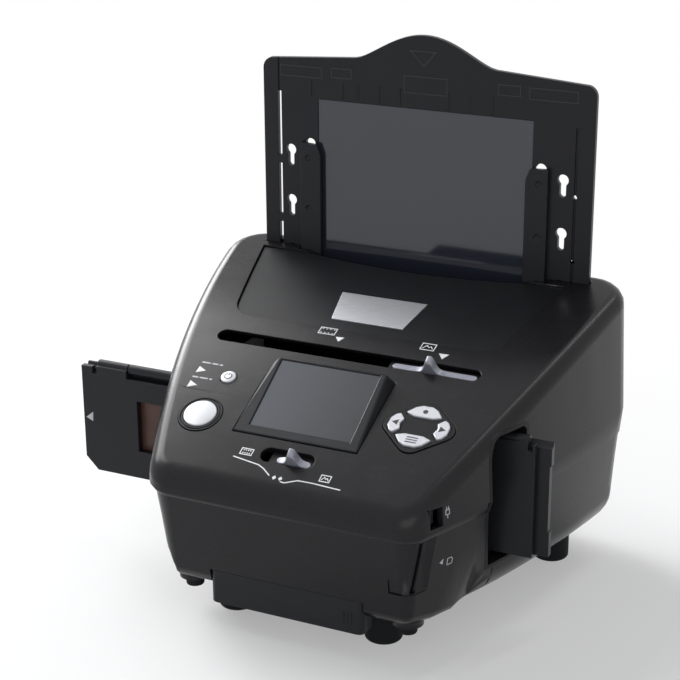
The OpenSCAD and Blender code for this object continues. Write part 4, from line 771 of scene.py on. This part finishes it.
MODE_Y, MODE_X = -5.8, 40.0
FOCUS_Y = -67.4
FOCUS_SLOT_X, FOCUS_SLOT_L, FOCUS_L, FOCUS_END = -3.3, 25.6, 16, 1.1
FOCUS_X = FOCUS_SLOT_X + (FOCUS_SLOT_L - FOCUS_L) / 2 - FOCUS_END
slide_lever("mode_lever", (MODE_X, MODE_Y), 40.6, 7.8, -2, 46.6,
            ((MODE_X - 3.6, -7.6, 98), (MODE_X + 3.6, -4.4, top_z(MODE_Y) - 3.4)))
slide_lever("focus_lever", (FOCUS_X, FOCUS_Y), FOCUS_L, 8, 0, 26,
            ((FOCUS_X - 3, FOCUS_Y - 1.4, 74.3), (FOCUS_X + 3, FOCUS_Y + 1.4, top_z(FOCUS_Y) - 3.7)))

# ---------------------------------------------------------------- display glass
LCD_W, LCD_H, LCD_TILT = 48.8, 37.6, 7.4
LCD_Y = -38.7
# how much the display block is taller than its glass, and where the glass sits on it
BLOCK_EXTRA, GLASS_EDGE, GLASS_X, GLASS_LIFT = 7.4, 4.7, 0.8, 0.15


def glass_frame():
    """Frame at the middle of the display block's sloping top."""
    tilt = math.radians(LCD_TILT)
    foot = LCD_H + BLOCK_EXTRA
    y = (GLASS_EDGE + LCD_H / 2) * math.cos(tilt) - foot / 2
    z = GLASS_LIFT + (y + foot / 2) * math.tan(tilt)
    local = Matrix.Translation(Vector((GLASS_X, y, z)) * MM) @ Matrix.Rotation(tilt, 4, "X")
    return top_frame(LAYOUT_X, LCD_Y) @ local


def plate(name, place, outline, z0, z1, mat, body, edge=0.12):
    """A flat plate of a given outline with rounded edges, between two heights of a frame."""
    bm = bmesh.new()
    rings = [[bm.verts.new((x, y, z)) for x, y in outline] for z in (z0, z1)]
    bm.faces.new(rings[0][::-1])
    bm.faces.new(rings[1])
    n = len(outline)
    for i in range(n):
        bm.faces.new((rings[0][i], rings[0][(i + 1) % n], rings[1][(i + 1) % n], rings[1][i]))
    bm.transform(place @ Matrix.Scale(MM, 4))
    obj = new_object(name, mesh_from(bm, name), mat, body)
    bevelled(obj, edge)
    return smoothed(obj)


glass = plate("lcd_window_form", glass_frame(), rectangle(-LCD_W / 2, -LCD_H / 2, LCD_W / 2, LCD_H / 2),
              -1.7, -0.5, MATS["screen_glass"], BODY)
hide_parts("lcd_window")


# ---------------------------------------------------------------- printed marks
def tray_face(u, v, lift):
    return Vector((u, TRAY_FACE_Y - lift, v))


def holder_face(u, v, lift):
    return Vector((u, HOLDER_FACE_Y - lift, v))


def film_icon(x0, y0, w, h):
    """A short length of film: frame with a row of holes along both edges."""
    shapes = stroke([(x0, y0), (x0, y0 + h), (x0 + w, y0 + h), (x0 + w, y0)], 0.42, True)
    holes = 4
    for i in range(holes):
        x = x0 + 0.9 + i * (w - 2.4) / (holes - 1)
        shapes += [rectangle(x, y, x + 0.6, y + 0.5) for y in (y0 + 0.55, y0 + h - 1.05)]
    return shapes


def print_icon(x0, y0, w, h):
    """A print: frame with a skyline in it."""
    hills = [(0.14, 0.2), (0.38, 0.72), (0.55, 0.42), (0.7, 0.6), (0.88, 0.2)]
    return (stroke([(x0, y0), (x0, y0 + h), (x0 + w, y0 + h), (x0 + w, y0)], 0.42, True)
            + stroke([(x0 + w * a, y0 + h * b) for a, b in hills], 0.36))


marks = [[(-14.2, 4.3), (-9.9, 4.6), (-11.7, 1.4)][::-1], [(37.4, 4.2), (42.3, 4.4), (40.2, 0.8)][::-1]]
marks += film_icon(-23.8, 5.2, 8.2, 4.2)
marks += print_icon(27.6, 5.2, 6.6, 4.2)
# leader lines and diamonds by the focus slot
marks += stroke([(-27.8, -71.4), (-14.4, -73.2), (-11.2, -74.6), (-7.2, -77.2)], 0.5)
marks += stroke([(-1.1, -79), (1, -79.2), (6.4, -77), (13, -76.9), (26.7, -77.5)], 0.5)
for cx in (-4.6, -1.6):
    marks += [[(cx - 1.0, -77.7), (cx, -78.8), (cx + 1.0, -77.7), (cx, -76.6)]]
marks += film_icon(-25.6, -69.6, 5.6, 3.0)
marks += print_icon(15.6, -75.2, 4.6, 3.0)
surface_print("fascia_marks", marks, on_top, PRINT_WHITE, BODY)

# small dashes above the two status lights
lamp_marks = [rectangle(x, y, x + w, y + 0.8)
              for y, row in ((-25.4, ((-68.6, 4.4), (-63.4, 3.2), (-59.4, 1.6))),
                             (-34.6, ((-68.8, 3.0), (-65.0, 4.2), (-60.0, 1.4))))
              for x, w in row]
surface_print("lamp_marks", lamp_marks, on_top, PRINT_GREY, BODY)


# ---------------------------------------------------------------- marks on buttons and keys
KEYS_AT, KEY_TOP = (46.8, -40.4), 1.3
POWER_AT, POWER_TOP = (-51.4, -31.4), 1.06


def key_place(u, v, lift):
    """Point on the key ring, measured from its middle."""
    return on_top(*KEYS_AT) + top_frame(*KEYS_AT).to_3x3() @ Vector((u, v, lift))


def button_place(at, height):
    """The place function of a button's face at a height over the fascia."""
    axes = top_frame(*at).to_3x3()
    return lambda u, v, lift: on_top(*at) + axes @ Vector((u, v, height + lift))


def key_print(name, shapes, node):
    surface_print(name, shapes, lambda u, v, lift: key_place(u, v, KEY_TOP + lift), PRINT_DARK,
                  BODY_OF[node])


key_print("key_top_mark", [arc(0, 8.6, 1.15, 0, 345, 23)], "key_top")
key_print("key_bottom_mark", [rectangle(-2.6, y, 2.6, y + 0.55) for y in (-7.5, -8.9, -10.3)],
          "key_bottom")
key_print("key_left_mark", [[(-12.6, 0), (-9.7, -1.7), (-9.7, 1.7)]], "key_left")
key_print("key_right_mark", [[(12.6, 0), (9.7, 1.7), (9.7, -1.7)]], "key_right")
power_ring = stroke(arc(0, 0, 1.7, 118, 422, 30), 0.5) + [rectangle(-0.25, -0.2, 0.25, 2.1)]
surface_print("power_mark", power_ring, button_place(POWER_AT, POWER_TOP), PRINT_DARK,
              BODY_OF["power_button"], 0.05, 0.12)

# ---------------------------------------------------------------- marks on the tray
label_boxes = [(-9.7, 216.2, 12.0, 224.2), (37.7, 219.3, 48.4, 224.1), (53.0, 218.7, 76.2, 223.9),
               (-75.5, 219.0, -53.0, 224.0), (-47.8, 220.0, -37.4, 224.5)]
tray_lines = stroke([(-6.7, 236.3), (6.1, 236.3), (0.3, 229.4)], 0.5, True)
for x0, z0, x1, z1 in label_boxes:
    tray_lines += stroke([(x0, z0), (x1, z0), (x1, z1), (x0, z1)], 0.45, True)
surface_print("tray_marks", tray_lines, tray_face, PRINT_DARK, BODY_OF["tray_frame"], 0.12, 0.05)

# ---------------------------------------------------------------- marks on the holder and the side
surface_print("holder_mark", [[(-134.6, 64.6), (-130.9, 63.0), (-130.6, 67.9)]], holder_face,
              PRINT_GREY, BODY_OF["holder_cover"])


def side_shapes(shapes, y0, z0):
    """The shapes moved to y0, z0 on the right side wall."""
    return [[(y0 + u, z0 + v) for u, v in s] for s in shapes]


plug_icon = stroke([(-1.0, -1.2), (-1.0, 1.0), (1.0, 1.0), (1.0, -1.2)], 0.4, True)
plug_icon += [rectangle(*r) for r in ((-0.7, 1.2, -0.3, 2.4), (0.3, 1.2, 0.7, 2.4),
                                      (-0.2, -3.0, 0.2, -1.4))]
card_icon = stroke([(-1.4, -1.6), (-1.4, 1.6), (0.5, 1.6), (1.4, 0.7), (1.4, -1.6)], 0.42, True)
card_arrow = [[(-1.2, 0), (0.9, 1.4), (0.9, -1.4)]]
side = side_shapes(plug_icon, -66.7, 73.8)
side += side_shapes(card_icon, -58.8, 46.9) + side_shapes(card_arrow, -63.7, 48.0)
surface_print("side_marks", side, on_wall, PRINT_GREY, BODY, 0.05, 0.3)

# ---------------------------------------------------------------- stage, light and camera
# share of white over the floor near the object, and the distances between which it rises to 1
FLOOR_GLOW, GLOW_FROM, GLOW_TO = 0.35, 0.15, 0.5
FLOOR_R = 6
AMBIENT = 0.3
WHITE_RAYS = ("Is Camera Ray", "Is Glossy Ray", "Is Transmission Ray")


def seen_rays(s):
    """1 for the rays that show the background: those of the camera, and those of gloss and glass."""
    path = s.node("LightPath")
    camera_ray, glossy, transmission = (path.outputs[kind] for kind in WHITE_RAYS)
    return s.math("MAXIMUM", camera_ray, s.math("MAXIMUM", glossy, transmission))


def stage_material():
    """Pale floor that keeps the object's shadow and fades to white away from it."""
    s = Shader("stage_white")
    s.set(Roughness=0.9, Specular_IOR_Level=0.2)
    s.to("Base Color", s.mix(s.range(s.noise(14, 2), 0, 1),
                             (0.85, 0.85, 0.855, 1), (0.87, 0.87, 0.875, 1)))
    length = s.node("VectorMath", operation="LENGTH")
    s.link(s.coords, length.inputs[0])
    far = s.range(length.outputs["Value"], FLOOR_GLOW, 1, GLOW_FROM, GLOW_TO)
    white = s.node("Emission")
    mixer = s.node("MixShader")
    s.link(s.math("MULTIPLY", far, seen_rays(s)), mixer.inputs[0])
    s.link(s.bsdf.outputs[0], mixer.inputs[1])
    s.link(white.outputs[0], mixer.inputs[2])
    s.link(mixer.outputs[0], s.out.inputs[0])
    return s.mat


bm = bmesh.new()
bmesh.ops.create_circle(bm, cap_ends=True, segments=96, radius=FLOOR_R)
floor_mesh = mesh_from(bm, "stage_floor")
floor = bpy.data.objects.new("stage_floor", floor_mesh)
bpy.context.scene.collection.objects.link(floor)
floor_mesh.materials.append(stage_material())

world = bpy.data.worlds.new("studio")
bpy.context.scene.world = world
world.use_nodes = True
tree = world.node_tree
tree.nodes.clear()
out = tree.nodes.new("ShaderNodeOutputWorld")
ambient = tree.nodes.new("ShaderNodeBackground")
ambient.inputs[0].default_value = (0.95, 0.97, 1.0, 1)
ambient.inputs[1].default_value = AMBIENT
white = tree.nodes.new("ShaderNodeBackground")
white.inputs[0].default_value = (1, 1, 1, 1)
white.inputs[1].default_value = 1
path = tree.nodes.new("ShaderNodeLightPath")
seen = path.outputs[WHITE_RAYS[0]]
for kind in WHITE_RAYS[1:]:
    either = tree.nodes.new("ShaderNodeMath")
    either.operation = "MAXIMUM"
    tree.links.new(seen, either.inputs[0])
    tree.links.new(path.outputs[kind], either.inputs[1])
    seen = either.outputs[0]
mixer = tree.nodes.new("ShaderNodeMixShader")
tree.links.new(seen, mixer.inputs[0])
tree.links.new(ambient.outputs[0], mixer.inputs[1])
tree.links.new(white.outputs[0], mixer.inputs[2])
tree.links.new(mixer.outputs[0], out.inputs[0])


def softbox(name, place, target, size, power):
    """A white rectangular lamp at a place, turned to its target."""
    lamp = bpy.data.lights.new(name, "AREA")
    lamp.shape = "RECTANGLE"
    lamp.size, lamp.size_y = size
    lamp.energy = power
    obj = bpy.data.objects.new(name, lamp)
    bpy.context.scene.collection.objects.link(obj)
    obj.location = place
    obj.rotation_euler = (Vector(target) - Vector(place)).to_track_quat("-Z", "Y").to_euler()


softbox("key_left", (-1.2, 0.28, 1.05), (-0.05, 0, 0.1), (1.1, 1.0), 24)
softbox("rim_left", (-1.08, 0.69, 0.64), (-0.1, 0, 0.13), (0.6, 0.5), 9)
softbox("fill_front", (0.6, -1.6, 0.9), (0, 0, 0.08), (1.2, 0.9), 4)
softbox("rim_strip", (0.28, 0.44, 1.23), (0.1, 0, 0.13), (0.06, 1.0), 2)

cam_data = bpy.data.cameras.new("camera")
camera = bpy.data.objects.new("camera", cam_data)
bpy.context.scene.collection.objects.link(camera)
# the camera recovered from the photograph's straight edges
YAW, PITCH, ROLL = (math.radians(a) for a in (25.5, 20.4, -0.3))
CAMERA_AT, SENSOR, LENS = (0.3218, -0.6956, 0.4018), 36, 94.76
forward = Vector((-math.sin(YAW) * math.cos(PITCH), math.cos(YAW) * math.cos(PITCH), -math.sin(PITCH)))
level = Vector((math.cos(YAW), math.sin(YAW), 0))
up0 = level.cross(forward)
right = level * math.cos(ROLL) + up0 * math.sin(ROLL)
up = up0 * math.cos(ROLL) - level * math.sin(ROLL)
basis = Matrix((right, up, -forward)).transposed().to_4x4()
basis.translation = Vector(CAMERA_AT)
camera.matrix_world = basis
cam_data.sensor_width = SENSOR
cam_data.lens = LENS
cam_data.clip_start = 0.05
cam_data.clip_end = 20
bpy.context.scene.camera = camera
bpy.context.scene.view_settings.view_transform = "Standard"
